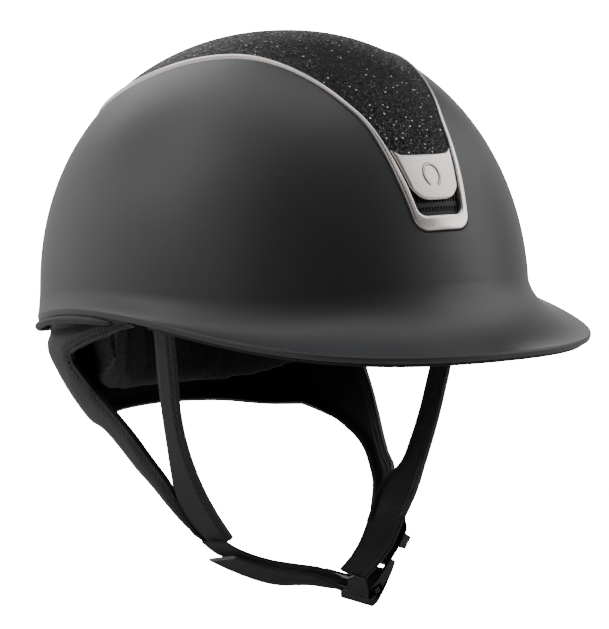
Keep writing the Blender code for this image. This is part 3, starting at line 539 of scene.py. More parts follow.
def moulded(name, colour=(0.013, 0.013, 0.014), roughness=0.36):
    """Moulded acetal: fine spark-eroded texture with a slow change of gloss."""
    finish = Finish(name, Base_Color=colour, Roughness=roughness, Specular_IOR_Level=0.5)
    where = finish.place()
    sparks, flow = finish.noise(where, 3000.0, 3.0, 0.65), finish.noise(where, 120.0, 3.0)
    finish.shade(Roughness=roughness - 0.05 + 0.10 * flow + 0.05 * sparks,
                 Base_Color=finish.blend(flow, tint(colour, 0.8), tint(colour, 1.3)))
    finish.bump(sparks, 0.02 * MM, 0.4)
    return finish


vent_plastic = moulded("vent_plastic", (0.004, 0.004, 0.0045), 0.5)


def vent(name, low, high, holes, depth, node):
    """Perforated strip: a grid of cells over the dome, two rows of holes left open, then given a wall."""
    columns = 4 * holes + 3
    degrees = low + (high - low) * np.array((0, 0.14, 0.20, 0.40, 0.46, 0.54, 0.60, 0.80, 0.86, 1))[:, None]
    across = np.linspace(-1, 1, columns)[None, :]
    grid = over_crown((opening_half_width(degrees) - 0.1 * MM) * across, degrees, depth)
    solid = np.ones((len(degrees) - 1, columns - 1), bool)
    solid[np.ix_((2, 6), np.arange(columns - 1) % 4 >= 2)] = False
    piece = piece_of(name, grid, grid_cells(grid)[solid])
    wall = piece.modifiers.new("Wall", "SOLIDIFY")
    wall.thickness = 0.7 * MM
    wall.offset = 1
    chamfer = piece.modifiers.new("Chamfer", "BEVEL")
    chamfer.width = 0.12 * MM
    chamfer.segments = 1
    return fit(piece, vent_plastic, "black_plastic", node)


vent("front_vent_mesh", 21.2, 26.2, 15, 1.9 * MM, "front_vent_grille")
vent("rear_vent_mesh", 146.6, 149.2, 26, 1.5 * MM, "rear_vent_grille")

# The top panel is foam-backed cloth strewn with crushed glitter, its edges tucked under the rails
CLOTH_FRONT, CLOTH_REAR = 33.2, 146.2
cloth_angle = np.linspace(CLOTH_FRONT, CLOTH_REAR, 201)[:, None]
cloth_v = np.linspace(-1, 1, 61)[None, :]
cloth_x = (opening_half_width(cloth_angle) - 0.15 * MM) * cloth_v
tuck = np.minimum(1 - np.abs(cloth_v), (CLOTH_REAR - cloth_angle) / 40) * 14
puff = (0.55 * np.sqrt(np.clip(1 - (1 - np.clip(tuck, 0, 1)) ** 2, 0, 1)) - 0.45) * MM
glitter_panel = slab("glitter_top_panel", over_crown(cloth_x, cloth_angle, -puff),
                     over_crown(cloth_x, cloth_angle, 1.9 * MM), sharp=60)
glitter = Finish("glitter_cloth", Base_Color=(0.008, 0.008, 0.009), Roughness=0.6, Specular_IOR_Level=0.22)
flake_spot = glitter.place()
flakes, coarse = glitter.voronoi(flake_spot, 1350.0), glitter.voronoi(flake_spot, 820.0)
draw = glitter.parts(flakes[1])[0]
rare = glitter.parts(coarse[1])[1]
small_spark = glitter.step(draw, 0.62, 1.0) ** 2.0 * glitter.step(0.50 - flakes[0], 0.0, 0.20)
big_spark = glitter.step(rare, 0.93, 0.975) * glitter.step(0.40 - coarse[0], 0.0, 0.12)
pile = glitter.noise(flake_spot, 2200.0, 2.0, 0.6)
ground = glitter.blend(pile, (0.0015, 0.0015, 0.002), (0.010, 0.0105, 0.012))
dusted = glitter.blend(small_spark * 0.50, ground, (0.34, 0.35, 0.36))
# Each flake lies at its own small angle to the cloth
tilt = glitter.node("ShaderNodeVectorMath", {"operation": "SUBTRACT"}, {0: flakes[1], 1: (0.5,) * 3})[0]
normal = glitter.node("ShaderNodeNewGeometry", {}, {})[1]
leaned = glitter.node("ShaderNodeVectorMath", {"operation": "ADD"},
                      {0: normal, 1: glitter.scaled(tilt, (0.75,) * 3)})[0]
facet = glitter.node("ShaderNodeVectorMath", {"operation": "NORMALIZE"}, {0: leaned})[0]
glitter.shade(Base_Color=glitter.blend(big_spark, dusted, (0.92, 0.93, 0.95)), Normal=facet,
              Metallic=big_spark * 0.35 + small_spark * 0.45,
              Roughness=0.55 - 0.25 * small_spark - 0.15 * big_spark)
fit(glitter_panel, glitter, "glitter_fabric", "top_panel")

# ---------------------------------------------------------------- Foam liner
# Moulded bead foam fills the shell and has an air channel from the front vent to the rear one.
foam_theta = np.linspace(0, 2 * math.pi, 145)[None, :]
foam_foot = rim_height(foam_theta) + 10 * MM
FOAM_OUTER, FOAM_INNER = SHELL_WALL + 1.0 * MM, 21.5 * MM


def foam_face(inset, shares):
    """Foam face: dome rows from the crown to the foot, which follows the rim."""
    face = dome(foam_theta, fall_at(level_at(foam_foot, inset)) * shares[:, None], inset)
    face[-1, :, 2] = np.minimum(face[-1, :, 2], foam_foot[0])
    return face


outside, inside = foam_face(FOAM_OUTER, np.linspace(0, 1, 30)), foam_face(FOAM_INNER, np.linspace(0, 1, 48))
CHANNEL_HALF, CHANNEL_DEPTH = 9.5 * MM, 8 * MM
channel = ease(CHANNEL_HALF - np.abs(inside[..., 0]), 0, 1.6 * MM) * ease(inside[..., 2], 45 * MM, 52 * MM)
inside += unit(inside - np.array((0, CENTRE_Y, WIDEST_LEVEL))) * (channel * CHANNEL_DEPTH)[..., None]
foam = surface("bead_foam_liner", np.concatenate([outside, inside[::-1]]))
beads = Finish("black_bead_foam", Base_Color=(0.022, 0.022, 0.023), Roughness=0.75)
bead_spot = beads.place()
seam = beads.step(beads.voronoi(bead_spot, 330.0, "DISTANCE_TO_EDGE")[0], 0.0, 0.14)
# Painted shade: the seams between the fused beads are darkened.
beads.shade(Base_Color=beads.blend(seam, (0.010, 0.010, 0.010), (0.030, 0.030, 0.031)),
            Roughness=0.82 - 0.16 * seam)
beads.bump(seam + 0.2 * beads.noise(bead_spot, 900.0), 0.25 * MM, 0.6)
fit(foam, beads, "eps_foam", "foam_liner")

# Hook discs, stuck to the foam, hold the comfort liner
hooks = Finish("hook_tape", Base_Color=(0.014, 0.014, 0.015), Roughness=0.85)
hook_grid = hooks.voronoi(hooks.place(), 900.0)[0]
# Painted light and shade: the raised hooks at the cell centres are painted lighter and the hollows between them
# darker.
hooks.shade(Base_Color=hooks.blend(hook_grid, (0.03, 0.03, 0.032), (0.006, 0.006, 0.006)))
hooks.bump(1 - hook_grid, 0.4 * MM, 0.8)


def clothe(node_name, finish):
    """Give a carried-over part of the frame its finish."""
    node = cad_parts[node_name]
    node.data.materials.clear()
    node.data.materials.append(finish.material)


for number in range(1, 5):
    clothe("liner_fastener_%d" % number, hooks)

# ---------------------------------------------------------------- Comfort liner pads
# Thin foam pads in a soft ribbed wicking knit, sewn at their edges and pressed onto the hook discs.


PAD_CAP, PUFF_FRAMES = 1.2 * MM, 20


def swell(piece, voxel=2.6 * MM, pressure=4.0):
    """Puff a closed pad: remesh it, inflate it by cloth pressure, cap each point's move, then smooth it."""
    remesh = piece.modifiers.new("Even mesh", "REMESH")
    remesh.mode = "VOXEL"
    remesh.voxel_size = voxel
    apply_modifiers(piece)
    start = vertex_array(piece)
    cloth = piece.modifiers.new("Cloth", "CLOTH")
    cloth.settings.quality = 5
    cloth.settings.mass = 0.3
    cloth.settings.use_pressure = True
    cloth.settings.uniform_pressure_force = pressure
    cloth.settings.tension_stiffness = 30
    cloth.settings.compression_stiffness = 30
    cloth.settings.effector_weights.gravity = 0
    cloth.point_cache.frame_start = 1
    cloth.point_cache.frame_end = PUFF_FRAMES
    for number in range(1, PUFF_FRAMES + 1):
        bpy.context.scene.frame_set(number)
    apply_modifiers(piece)
    moved = vertex_array(piece) - start
    size = np.linalg.norm(moved, axis=1)
    size[size == 0] = 1
    limited = start + moved * (np.minimum(size, PAD_CAP) / size)[:, None]
    piece.data.vertices.foreach_set("co", limited.ravel())
    piece.data.update()
    bpy.context.scene.frame_set(1)
    smooth = piece.modifiers.new("Smooth", "SMOOTH")
    smooth.factor = 0.5
    smooth.iterations = 4
    finer = piece.modifiers.new("Finer", "SUBSURF")
    finer.levels = finer.render_levels = 1
    apply_modifiers(piece)
    piece.data.shade_smooth()
    return piece


def vertex_array(piece):
    """All points of a mesh as rows."""
    points = np.empty(len(piece.data.vertices) * 3)
    piece.data.vertices.foreach_get("co", points)
    return points.reshape(-1, 3)


def apply_modifiers(piece):
    """Swap the mesh for its modified one and drop the modifiers."""
    done = bpy.data.meshes.new_from_object(piece.evaluated_get(bpy.context.evaluated_depsgraph_get()))
    piece.modifiers.clear()
    piece.data = done


def knit(name, colour, pitch=1.25 * MM, rough=0.86):
    """Ribbed knit: upright ribs by direction round the head, cut into small squares by height, with painted
    shade in the hollows between them.
    """
    finish = Finish(name, Base_Color=colour, Roughness=rough, Sheen_Weight=0.25, Sheen_Roughness=0.5,
                    Specular_IOR_Level=0.3)
    x, y, z = finish.parts(finish.place())
    round_head = finish.node("ShaderNodeMath", {"operation": "ARCTAN2"}, {0: x, 1: y})[0] * (88 * MM)
    rib = (round_head * (2 * math.pi / pitch)).math("SINE") * 0.5 + 0.5
    course = (z * (2 * math.pi / pitch)).math("SINE") * 0.5 + 0.5
    yarn = finish.noise(finish.place(), 1900.0, 3.0)
    knot = rib * (0.55 + 0.45 * course)
    # Painted shade: the hollows between ribs and squares are darkened to 0.42 of the colour. The yarn noise
    # varies the tone at random.
    finish.shade(Base_Color=finish.blend(knot * (0.6 + 0.4 * yarn), tint(colour, 0.42), colour))
    finish.bump(knot + 0.25 * yarn, 0.40 * MM, 0.8)
    return finish


liner_knit = knit("ribbed_liner_knit", (0.017, 0.018, 0.022))


def pad_grid(degrees, levels, outer, inner, soften):
    """Strip inside the dome between two directions and two levels, thinner towards every edge."""
    angle = np.radians(degrees)[None, :]
    level = levels[:, None]
    u, v = np.linspace(-1, 1, len(degrees))[None, :], np.linspace(-1, 1, len(levels))[:, None]
    bulge = ((1 - u ** soften) * (1 - v ** soften)) ** 0.4
    depth = mix(outer + 2.0 * MM, inner, bulge)
    fall = fall_at(level) + 0 * angle
    return dome(angle, fall, depth), dome(angle, fall, outer + 0 * depth)


def padded(piece, node):
    """Give a puffed pad its knit and its body, and hide the frame node that it stands for."""
    return fit(piece, liner_knit, "liner_fabric", node)


PAD_BACK = 25.6 * MM


def liner_pad(name, first, last, low, high, node):
    """One sewn pad of the comfort liner."""
    top, back = pad_grid(np.linspace(first, last, 81), np.linspace(high, low, 25), PAD_BACK, 30.6 * MM, 10)
    return padded(swell(slab(name, top, back)), node)


liner_pad("brow_comfort_pad", -78, 78, 0.02, 0.30, "brow_pad")
liner_pad("right_comfort_pad", -128, -84, 0.08, 0.42, "side_pad_right")
liner_pad("left_comfort_pad", 84, 128, 0.08, 0.42, "side_pad_left")
crown_theta = np.linspace(0, 2 * math.pi, 97)[None, :]
CROWN_PAD_FALL = 0.62
crown_fall = np.linspace(0, CROWN_PAD_FALL, 22)[:, None]
crown_bulge = (1 - (crown_fall / CROWN_PAD_FALL) ** 8) ** 0.5
crown_top = dome(crown_theta, crown_fall, mix(27.5 * MM, 30.8 * MM, crown_bulge))
crown_back = dome(crown_theta, crown_fall, PAD_BACK)
padded(swell(surface("crown_comfort_pad", np.concatenate([crown_top, crown_back[::-1]]))), "crown_pad")

# The nape pad hangs from the foam over the neck band; its lower hem is bound, and the part in front
# of the ears folds softly.
nape_degrees = np.linspace(104, 256, 161)
nape_theta = np.radians(nape_degrees)
nape_away = 180 - np.abs(nape_degrees - 180)
nape_low = curve((93, 110, 125, 145, 180), (-6, -27.5, -36.5, -45.5, -49.5), nape_away) * MM


def nape_pad_face(inset, rows=49):
    """Face of the nape pad: its outline shrinks from the foam's to the neck band's as it hangs."""
    share = np.linspace(0, 1, rows)[:, None]
    z = mix(5 * MM, nape_low, share)
    drop = np.clip((-8 * MM - z) / (42 * MM), 0, 1)
    half, rear = mix(81.4 * MM, 73.3 * MM, drop) - inset, mix(112.4 * MM, 102.8 * MM, drop) - inset
    power = mix(PLAN_POWER, 2.5, drop)
    return np.stack([half * signed_power(np.sin(nape_theta), 2 / power),
                     -rear * signed_power(np.cos(nape_theta), 2 / power), z + 0 * nape_theta], -1)


nape_u = np.linspace(-1, 1, 161)[None, :]
nape_v = np.linspace(-1, 1, 49)[:, None]
nape_bulge = ((1 - nape_u ** 12) * (1 - nape_v ** 8)) ** 0.45
FOLD_HEIGHT, FOLD_PLACE, FOLD_SPREAD = 0.35 * MM, 128, 22
folds = (np.sin(nape_away * 0.42 + nape_v * 2.6) * np.exp(-((nape_away - FOLD_PLACE) / FOLD_SPREAD) ** 2)
         * (1 - nape_v) * FOLD_HEIGHT)
padded(swell(slab("ribbed_nape_pad", nape_pad_face((2.2 + 3.6 * nape_bulge) * MM + folds),
                  nape_pad_face(0.4 * MM)), 2.4 * MM), "nape_pad")

# ---------------------------------------------------------------- Rear harness
# One leather-look panel hangs from the rear rim, narrows past each ear and runs on as the rear strap.
# It is turned over at its edges and sewn with two rows of stitches along the ear openings.
SEAM_POINTS, STRAP_ROWS = 15, 46
# Directions in degrees and heights in millimetres of the ear opening's edge and of the strap's root
EAR_FRONT, EAR_REAR, STRAP_REAR = 87.5, 107.4, 126
EAR_LOW, STRAP_LOW = -20.8, -60.5
BAND_WALL = 2.4 * MM


def band_outline(angle, z):
    """Neck band's plan outline: half width, rear length and power are curves of the height."""
    levels = (-61.0, -52.5, -42.5, -33.0, -25.5, -17.5)
    at = z / MM
    half = curve(levels, (73.0, 78.0, 83.0, 86.5, 88.5, 92.0), at) * MM
    rear = curve(levels, (104.0, 109.0, 116.0, 124.0, 130.0, 133.0), at) * MM
    power = curve(levels, (2.6, 2.8, 2.9, 2.9, 2.9, 2.6), at)
    return half * signed_power(np.sin(angle), 2 / power), -rear * signed_power(np.cos(angle), 2 / power)


def along(points, count):
    """Smooth curve through given points in millimetres, spread by length."""
    points = np.array(points, float)
    chord = run_length(points)
    return curve(chord, points, np.linspace(0, chord[-1], count)) * MM


# Front and rear edges of the rear straps, in millimetres, written for the left side
RIGHT_REAR_FRONT = [(87.6, 54, -20.8), (86.4, 54.4, -24.2), (85.5, 50, -28.6), (82.8, 41.5, -37),
                    (79, 28.5, -48), (76.5, 16, -57.5), (72.5, 7, -68), (68.5, -2, -78.5),
                    (64, -5, -88), (57.5, -5, -99), (52, -8, -107.5)]
RIGHT_REAR_BACK = [(62, 67.5, -61.6), (67.5, 57, -60), (70.5, 45.5, -61.8), (69.5, 36, -68),
                   (68, 27, -75), (66.5, 16.5, -81.5), (63.5, 9.5, -88.7), (59.5, 4, -96),
                   (55, -2.5, -103.4), (50.8, -7.6, -109)]
LEFT_REAR_FRONT = [(87.6, 54, -20.8), (86.4, 54.0, -24.2), (84.8, 48, -30.5), (81.5, 38, -40.3),
                   (79, 30, -48.5), (75.5, 20, -59.4), (71.5, 10, -70.2), (69, 3, -77.2),
                   (66, -6, -83.8), (58.5, -8, -97), (52, -9, -107.5)]
LEFT_REAR_BACK = [(62, 67.5, -61.6), (65.5, 57, -64), (68, 44, -67), (68.5, 36, -70.2), (68.5, 26.7, -74.7),
                  (67, 19, -79.2), (64.5, 11.3, -86), (61.5, 4.4, -93), (56, -2, -102.2), (50.8, -7.4, -109)]


def panel_base(angle, z):
    """Harness surface: the shell's outline at the rim, easing into the neck band's a little below."""
    top, tucked = rim_height(angle) + 4 * MM, rim_height(angle) - 5.5 * MM
    shell_x, shell_y = plan(angle, SHELL_WALL + 0.5 * MM)
    band_x, band_y = band_outline(angle, np.minimum(z, -17.5 * MM))
    share = np.clip((top - z) / (top - tucked), 0, 1) ** 2
    return np.stack([mix(shell_x, band_x, share), mix(shell_y, band_y, share), z + 0 * angle], -1)


def half_panel(side, front, back):
    """Half of the rear panel and one rear strap: two grids whose shared seam has the same points.

    Panel columns stand upright from the rim to the lower edge. Strap rows run from front edge to rear edge.
    """
    ears = np.linspace(EAR_FRONT, EAR_REAR, 34)[:-1]
    seam_angle = np.linspace(EAR_REAR, STRAP_REAR, SEAM_POINTS)
    nape = np.linspace(STRAP_REAR, 180, 44)[1:]
    degrees = np.r_[ears, seam_angle, nape]
    ear_low = curve((EAR_FRONT, 89.5, 93.3, 98, 103, EAR_REAR), (0.0, -2.0, -7.3, -11.8, -16.2, EAR_LOW), ears)
    low = np.r_[ear_low,
                np.linspace(EAR_LOW, STRAP_LOW, SEAM_POINTS),
                curve((STRAP_REAR, 140, 160, 180), (STRAP_LOW, -61.5, -59.8, -58.5), nape)] * MM
    angle = np.radians(degrees)
    top = rim_height(angle) + 4 * MM
    grid = panel_base(angle, mix(top, low, np.linspace(0, 1, 40)[:, None]))
    seam_line = grid[-1, len(ears):len(ears) + SEAM_POINTS]
    a, b = along(front, STRAP_ROWS)[:, None], along(back, STRAP_ROWS)[:, None]
    across = np.linspace(0, 1, SEAM_POINTS)[None, :, None]
    strap = mix(a, b, across)
    fade = 1 - ease(np.arange(STRAP_ROWS), 0, 14)[:, None, None]
    strap = strap + (seam_line - strap[0])[None] * fade
    scale = np.array((side, 1, 1))
    return grid * scale, strap * scale, a[:, 0] * scale, b[:, 0] * scale


def joined(name, grids):
    """One mesh from several grids, sewn where their points meet."""
    first = np.cumsum([0] + [grid.size // 3 for grid in grids])
    cells = [start + grid_cells(grid).reshape(-1, 4) for start, grid in zip(first, grids)]
    points = [grid.reshape(-1, 3) for grid in grids]
    piece = piece_of(name, np.concatenate(points), np.concatenate(cells))
    sew(piece.data, 5e-6)
    return piece


def turn_outwards(piece, centre):
    """Make an open sheet's faces look away from a centre, and give its points and normals."""
    mesh = piece.data
    points, normals = vertex_array(piece), np.empty(len(mesh.vertices) * 3)
    mesh.vertices.foreach_get("normal", normals)
    normals = normals.reshape(-1, 3)
    if np.sum(normals * (points - centre)) < 0:
        mesh.flip_normals()
        normals = -normals
    return points, normals


def edge_distance(points, line):
    """Distance of each point from the nearest point of a line."""
    return np.min(np.linalg.norm(points[:, None] - line[None], axis=2), axis=1)


def wall_and_round(piece, thickness, rounding):
    """Give a sheet its thickness inwards, round its rim and smooth it."""
    wall = piece.modifiers.new("Wall", "SOLIDIFY")
    wall.thickness = thickness
    wall.offset = -1
    rim = piece.modifiers.new("Turned edge", "BEVEL")
    rim.width = rounding
    rim.segments = 3
    rim.limit_method = "ANGLE"
    rim.angle_limit = math.radians(50)
    piece.data.shade_smooth()


right_panel, right_strap, right_a, right_b = half_panel(-1, RIGHT_REAR_FRONT, RIGHT_REAR_BACK)
left_panel, left_strap, left_a, left_b = half_panel(1, LEFT_REAR_FRONT, LEFT_REAR_BACK)
rear_harness = joined("rear_harness_panel", [right_panel, right_strap, left_panel, left_strap])
harness_points, harness_normals = turn_outwards(rear_harness, np.array((0, 20, -50)) * MM)
ear_lines = [np.concatenate([grid[-1, :34], a]) for grid, a in ((right_panel, right_a), (left_panel, left_a))]
low_lines = [np.concatenate([grid[-1, 47:], b]) for grid, b in ((right_panel, right_b), (left_panel, left_b))]
ear_gap = np.minimum(*[edge_distance(harness_points, line) for line in ear_lines])
low_gap = np.minimum(*[edge_distance(harness_points, line) for line in low_lines])


def ridge(gap, place, width):
    """Bell curve across an edge, centred at a distance from it."""
    return np.exp(-((gap - place) / width) ** 2)


harness_theta = np.arctan2(signed_power(harness_points[:, 0] / HALF_WIDTH, PLAN_POWER / 2),
                           signed_power(-harness_points[:, 1] / REAR_LENGTH, PLAN_POWER / 2))
below_rim = rim_height(harness_theta) - harness_points[:, 2]
lift = (1.5 * MM * ease(below_rim, 3.5 * MM, 10 * MM) * ease(ear_gap, 0, 7 * MM) * ease(low_gap, 0, 7 * MM)
        - 0.42 * MM * ridge(ear_gap, 1.9 * MM, 0.55 * MM) - 0.30 * MM * ridge(ear_gap, 4.2 * MM, 0.6 * MM)
        + 0.25 * MM * ridge(ear_gap, 3.0 * MM, 0.9 * MM) - 0.30 * MM * ridge(low_gap, 2.2 * MM, 0.6 * MM))
rear_harness.data.vertices.foreach_set("co", (harness_points + harness_normals * lift[:, None]).ravel())
wall_and_round(rear_harness, BAND_WALL, 0.7 * MM)
harness_leather = leather("harness_leather_look", (0.0105, 0.0112, 0.0122), 0.50)
fit(rear_harness, harness_leather, "leather_look", "nape_panel", "rear_strap_right", "rear_strap_left")

thread = Finish("stitching_thread", Base_Color=(0.05, 0.051, 0.053), Roughness=0.7, Sheen_Weight=0.2)
thread_twist = thread.noise(thread.place(), 2600.0, 2.0)
thread.shade(Base_Color=thread.blend(thread_twist, (0.030, 0.030, 0.032), (0.090, 0.092, 0.096)))
thread.bump(thread_twist, 0.05 * MM, 0.6)


def square_to(vectors, ahead):
    """Unit vectors with their part along a direction taken out."""
    return unit(vectors - ahead * np.sum(vectors * ahead, axis=1)[:, None])


def stitches(name, line, normals, pitch=3.0 * MM, length=2.1 * MM, girth=0.34 * MM):
    """Row of stitches on a line: small spindles, each with the radius of half an ellipse along it."""
    chord = run_length(line)
    count = int(chord[-1] / pitch)
    middle = (np.arange(count) + 0.5) * chord[-1] / count
    centre = curve(chord, line, middle)
    ahead = unit(curve(chord, line, middle + 0.3 * MM) - curve(chord, line, middle - 0.3 * MM))
    up = square_to(curve(chord, normals, middle), ahead)
    side = np.cross(ahead, up)
    t = np.linspace(-1, 1, 6)
    turn = np.linspace(0, 2 * math.pi, 7)[:-1]
    radius = girth * np.sqrt(1 - t ** 2)
    ring = (centre[:, None, None] + ahead[:, None, None] * (t * length / 2)[None, :, None, None]
            + side[:, None, None] * (radius[:, None] * np.cos(turn))[None, :, :, None]
            + up[:, None, None] * (radius[:, None] * np.sin(turn) + 0.25 * girth)[None, :, :, None])
    index = np.arange(36).reshape(6, 6)
    nextward = np.roll(index, -1, axis=1)
    cell = np.stack([index[:-1], nextward[:-1], nextward[1:], index[1:]], -1).reshape(-1, 4)
    cells = (np.arange(count)[:, None, None] * 36 + cell[None]).reshape(-1, 4)
    piece = piece_of(name, ring, cells)
    sew(piece.data, 5e-6)
    piece.data.shade_smooth()
    return fit(piece, thread, "leather_look")


def line_beside(points, normals, edge_line, gap, inward):
    """Line on a sheet beside its edge: each edge point is moved inwards, then dropped to the sheet."""
    moved = edge_line + inward * gap
    nearest = np.argmin(np.linalg.norm(points[None] - moved[:, None], axis=2), axis=1)
    height = np.sum((moved - points[nearest]) * normals[nearest], axis=1)
    return moved - normals[nearest] * height[:, None], normals[nearest]


def inward_of(edge_line, towards):
    """Unit vectors across an edge, square to it, that point to the other side of the piece."""
    across = square_to(towards - edge_line, unit(np.gradient(edge_line, axis=0)))
    for _ in range(6):
        across[1:-1] = (across[:-2] + 2 * across[1:-1] + across[2:]) / 4
    return unit(across)


harness_top = vertex_array(rear_harness)
for word, panel, strap, front in (("right", right_panel, right_strap, right_a),
                                  ("left", left_panel, left_strap, left_a)):
    ear_edge = np.concatenate([panel[-1, 2:32:3], front[1:-3]])
    beyond = np.concatenate([panel[0, 2:32:3], strap[1:-3, -1]])
    inwards = inward_of(ear_edge, beyond)
    for row, gap in enumerate((1.9 * MM, 4.2 * MM)):
        line, line_normals = line_beside(harness_top, harness_normals, ear_edge, gap, inwards)
        stitches("ear_stitching_%s_%d" % (word, row + 1), line, line_normals)

# ---------------------------------------------------------------- Piping along the rear rim
# A cord wrapped in the same leather-look, nipped between the shell's edge and the rear panel.
bead_theta = np.radians(np.linspace(82, 278, 221))
bead_x, bead_y = plan(bead_theta, 0.2 * MM)
bead_out = 1 + 0.85 * flare(np.minimum(bead_theta, 2 * math.pi - bead_theta)) / np.hypot(bead_x, bead_y)
bead_x, bead_y = bead_x * bead_out, bead_y * bead_out
bead_end = np.minimum(bead_theta - bead_theta[0], bead_theta[-1] - bead_theta)
BEAD_RADIUS, BEAD_TAPER = 1.85 * MM, 0.10
bead_radius = BEAD_RADIUS * np.sqrt(np.clip(bead_end / BEAD_TAPER, 0.0, 1))
bead_line = np.stack([bead_x, bead_y, rim_height(bead_theta) - 2.1 * MM], -1)
outward = unit(np.stack([bead_x, bead_y, 0 * bead_x], -1))[:, None]
bead_turn = np.linspace(0, 2 * math.pi, 21)[None, :, None]
bead_ring = np.cos(bead_turn) * outward + np.sin(bead_turn) * np.array((0, 0, 1))
bead_grid = bead_line[:, None] + bead_radius[:, None, None] * bead_ring
piping = surface("rear_rim_piping", bead_grid, sharp=80)
fit(piping, harness_leather, "leather_look", "rear_piping")

# ---------------------------------------------------------------- Front straps and sleeves
# Each front strap hangs from an anchor inside the shell, is sewn along its front edge, and widens
# into the sleeve that takes the rear strap and the chin webbing.
RIGHT_FRONT_EDGE = [(91, -39, 11), (89, -37, -2), (85, -34, -22), (81.5, -31, -40), (77.5, -30, -55),
                    (73, -30.5, -68), (67.5, -31, -80), (62, -32, -90), (53, -33, -103.5)]
RIGHT_BACK_EDGE = [(92.5, -24, 11), (89.5, -23, -2), (85.5, -19.5, -22), (81, -16, -41), (76.5, -13, -57),
                   (71, -8.5, -73), (66.4, -4.5, -83), (60.5, 0.5, -93.5), (48.9, -9.0, -110.2)]
LEFT_FRONT_EDGE = [(91.5, -36, 11), (89, -35, -2), (85, -31.5, -22), (81.5, -29.5, -40), (77.5, -29, -55),
                   (73, -29, -68), (67.5, -30, -80), (61.5, -32, -91), (52.5, -33.5, -104.2)]
LEFT_BACK_EDGE = [(93, -22, 11), (90, -21, -2), (85.5, -17, -22), (82, -15, -38), (77.5, -14.5, -54),
                  (72, -13.5, -70), (67.8, -12.5, -80), (61.5, -4.5, -91.5), (49.2, -7.6, -110.6)]


def flat_strap(name, side, front, back, rows, columns, wall, lift_across, inset=0.0):
    """Strap between two edge curves: straight across, lifted outwards by a function of the place across."""
    a, b = along(front, rows) * (side, 1, 1), along(back, rows) * (side, 1, 1)
    across = np.linspace(0, 1, columns)
    grid = mix(a[:, None], b[:, None], across[None, :, None])
    piece = joined(name, [grid])
    points, normals = turn_outwards(piece, np.array((0, -20, -60)) * MM)
    width = np.linalg.norm(b - a, axis=1)[:, None]
    lift = np.broadcast_to(lift_across(across[None, :] * width, width), (rows, columns)).reshape(-1) - inset
    points = points + normals * lift[:, None]
    piece.data.vertices.foreach_set("co", points.ravel())
    wall_and_round(piece, wall, min(0.6 * MM, wall * 0.3))
    return piece, points.reshape(rows, columns, 3), normals.reshape(rows, columns, 3)


SEWN_AT = 2.2 * MM


def front_strap_lift(gap, width):
    """Soft crown with a stitched groove near the front edge."""
    crown = 0.9 * MM * ease(gap, 0, 4 * MM) * ease(width - gap, 0, 4 * MM)
    return (crown - 0.40 * MM * ridge(gap, SEWN_AT, 0.6 * MM)
            - 0.2 * MM * ridge(width - gap, 1.8 * MM, 0.5 * MM))


for side, word, front, back in ((-1, "right", RIGHT_FRONT_EDGE, RIGHT_BACK_EDGE),
                                (1, "left", LEFT_FRONT_EDGE, LEFT_BACK_EDGE)):
    strap, top, up = flat_strap("front_strap_" + word + "_sewn", side, front, back, 90, 29, 2.2 * MM,
                                front_strap_lift, inset=0.9 * MM)
    fit(strap, harness_leather, "leather_look", "front_strap_" + word, "strap_sleeve_" + word)
    gap = SEWN_AT / np.linalg.norm(top[:, -1] - top[:, 0], axis=1)[:, None]
    sewn = mix(top[:, 0], top[:, -1], gap)
    sewn, sewn_up = line_beside(top.reshape(-1, 3), up.reshape(-1, 3), sewn, 0.0, up[:, 0])
    stitches("front_strap_stitching_" + word, sewn[8:-3], sewn_up[8:-3])
    clothe("strap_anchor_" + word, vent_plastic)

# ---------------------------------------------------------------- Chin guard
# A soft suede-faced flap sewn into the left sleeve. It keeps the buckle off the skin.
GUARD_FRONT = [(55.2, -33, -100.5), (50.5, -33.6, -108), (46.3, -33.2, -116.5), (38.0, -32, -126.4),
               (29.8, -31, -133.4)]
GUARD_BACK = [(54.0, -4.6, -104.6), (47.6, -8.2, -113), (43.0, -9.2, -120), (35.8, -10.5, -127.2),
              (28.6, -11.5, -132.2)]


def guard_lift(gap, width):
    """Low crown that fades 3 mm from each edge."""
    return 0.35 * MM * ease(gap, 0, 3 * MM) * ease(width - gap, 0, 3 * MM)


guard = flat_strap("chin_guard_flap", 1, GUARD_FRONT, GUARD_BACK, 50, 25, 1.7 * MM, guard_lift,
                   inset=1.2 * MM)[0]
suede = Finish("black_suede", Base_Color=(0.018, 0.017, 0.018), Roughness=0.9,
               Sheen_Weight=0.35, Sheen_Roughness=0.45)
nap, nap_fine = suede.noise(suede.place(), 160.0, 4.0), suede.noise(suede.place(), 2400.0, 3.0)
suede.shade(Base_Color=suede.blend(nap, (0.012, 0.012, 0.013), (0.027, 0.026, 0.027)))
suede.bump(nap_fine, 0.10 * MM, 0.5)
fit(guard, suede, "leather_look", "chin_guard")

# ---------------------------------------------------------------- Chin webbing
# 20 mm woven polyester tape: the right sleeve's tape runs through the plug and folds back as the
# free tail, whose end is cut with a hot knife; a short tape joins the left sleeve to the socket.
WEB_WIDTH, WEB_WALL = 20 * MM, 1.5 * MM


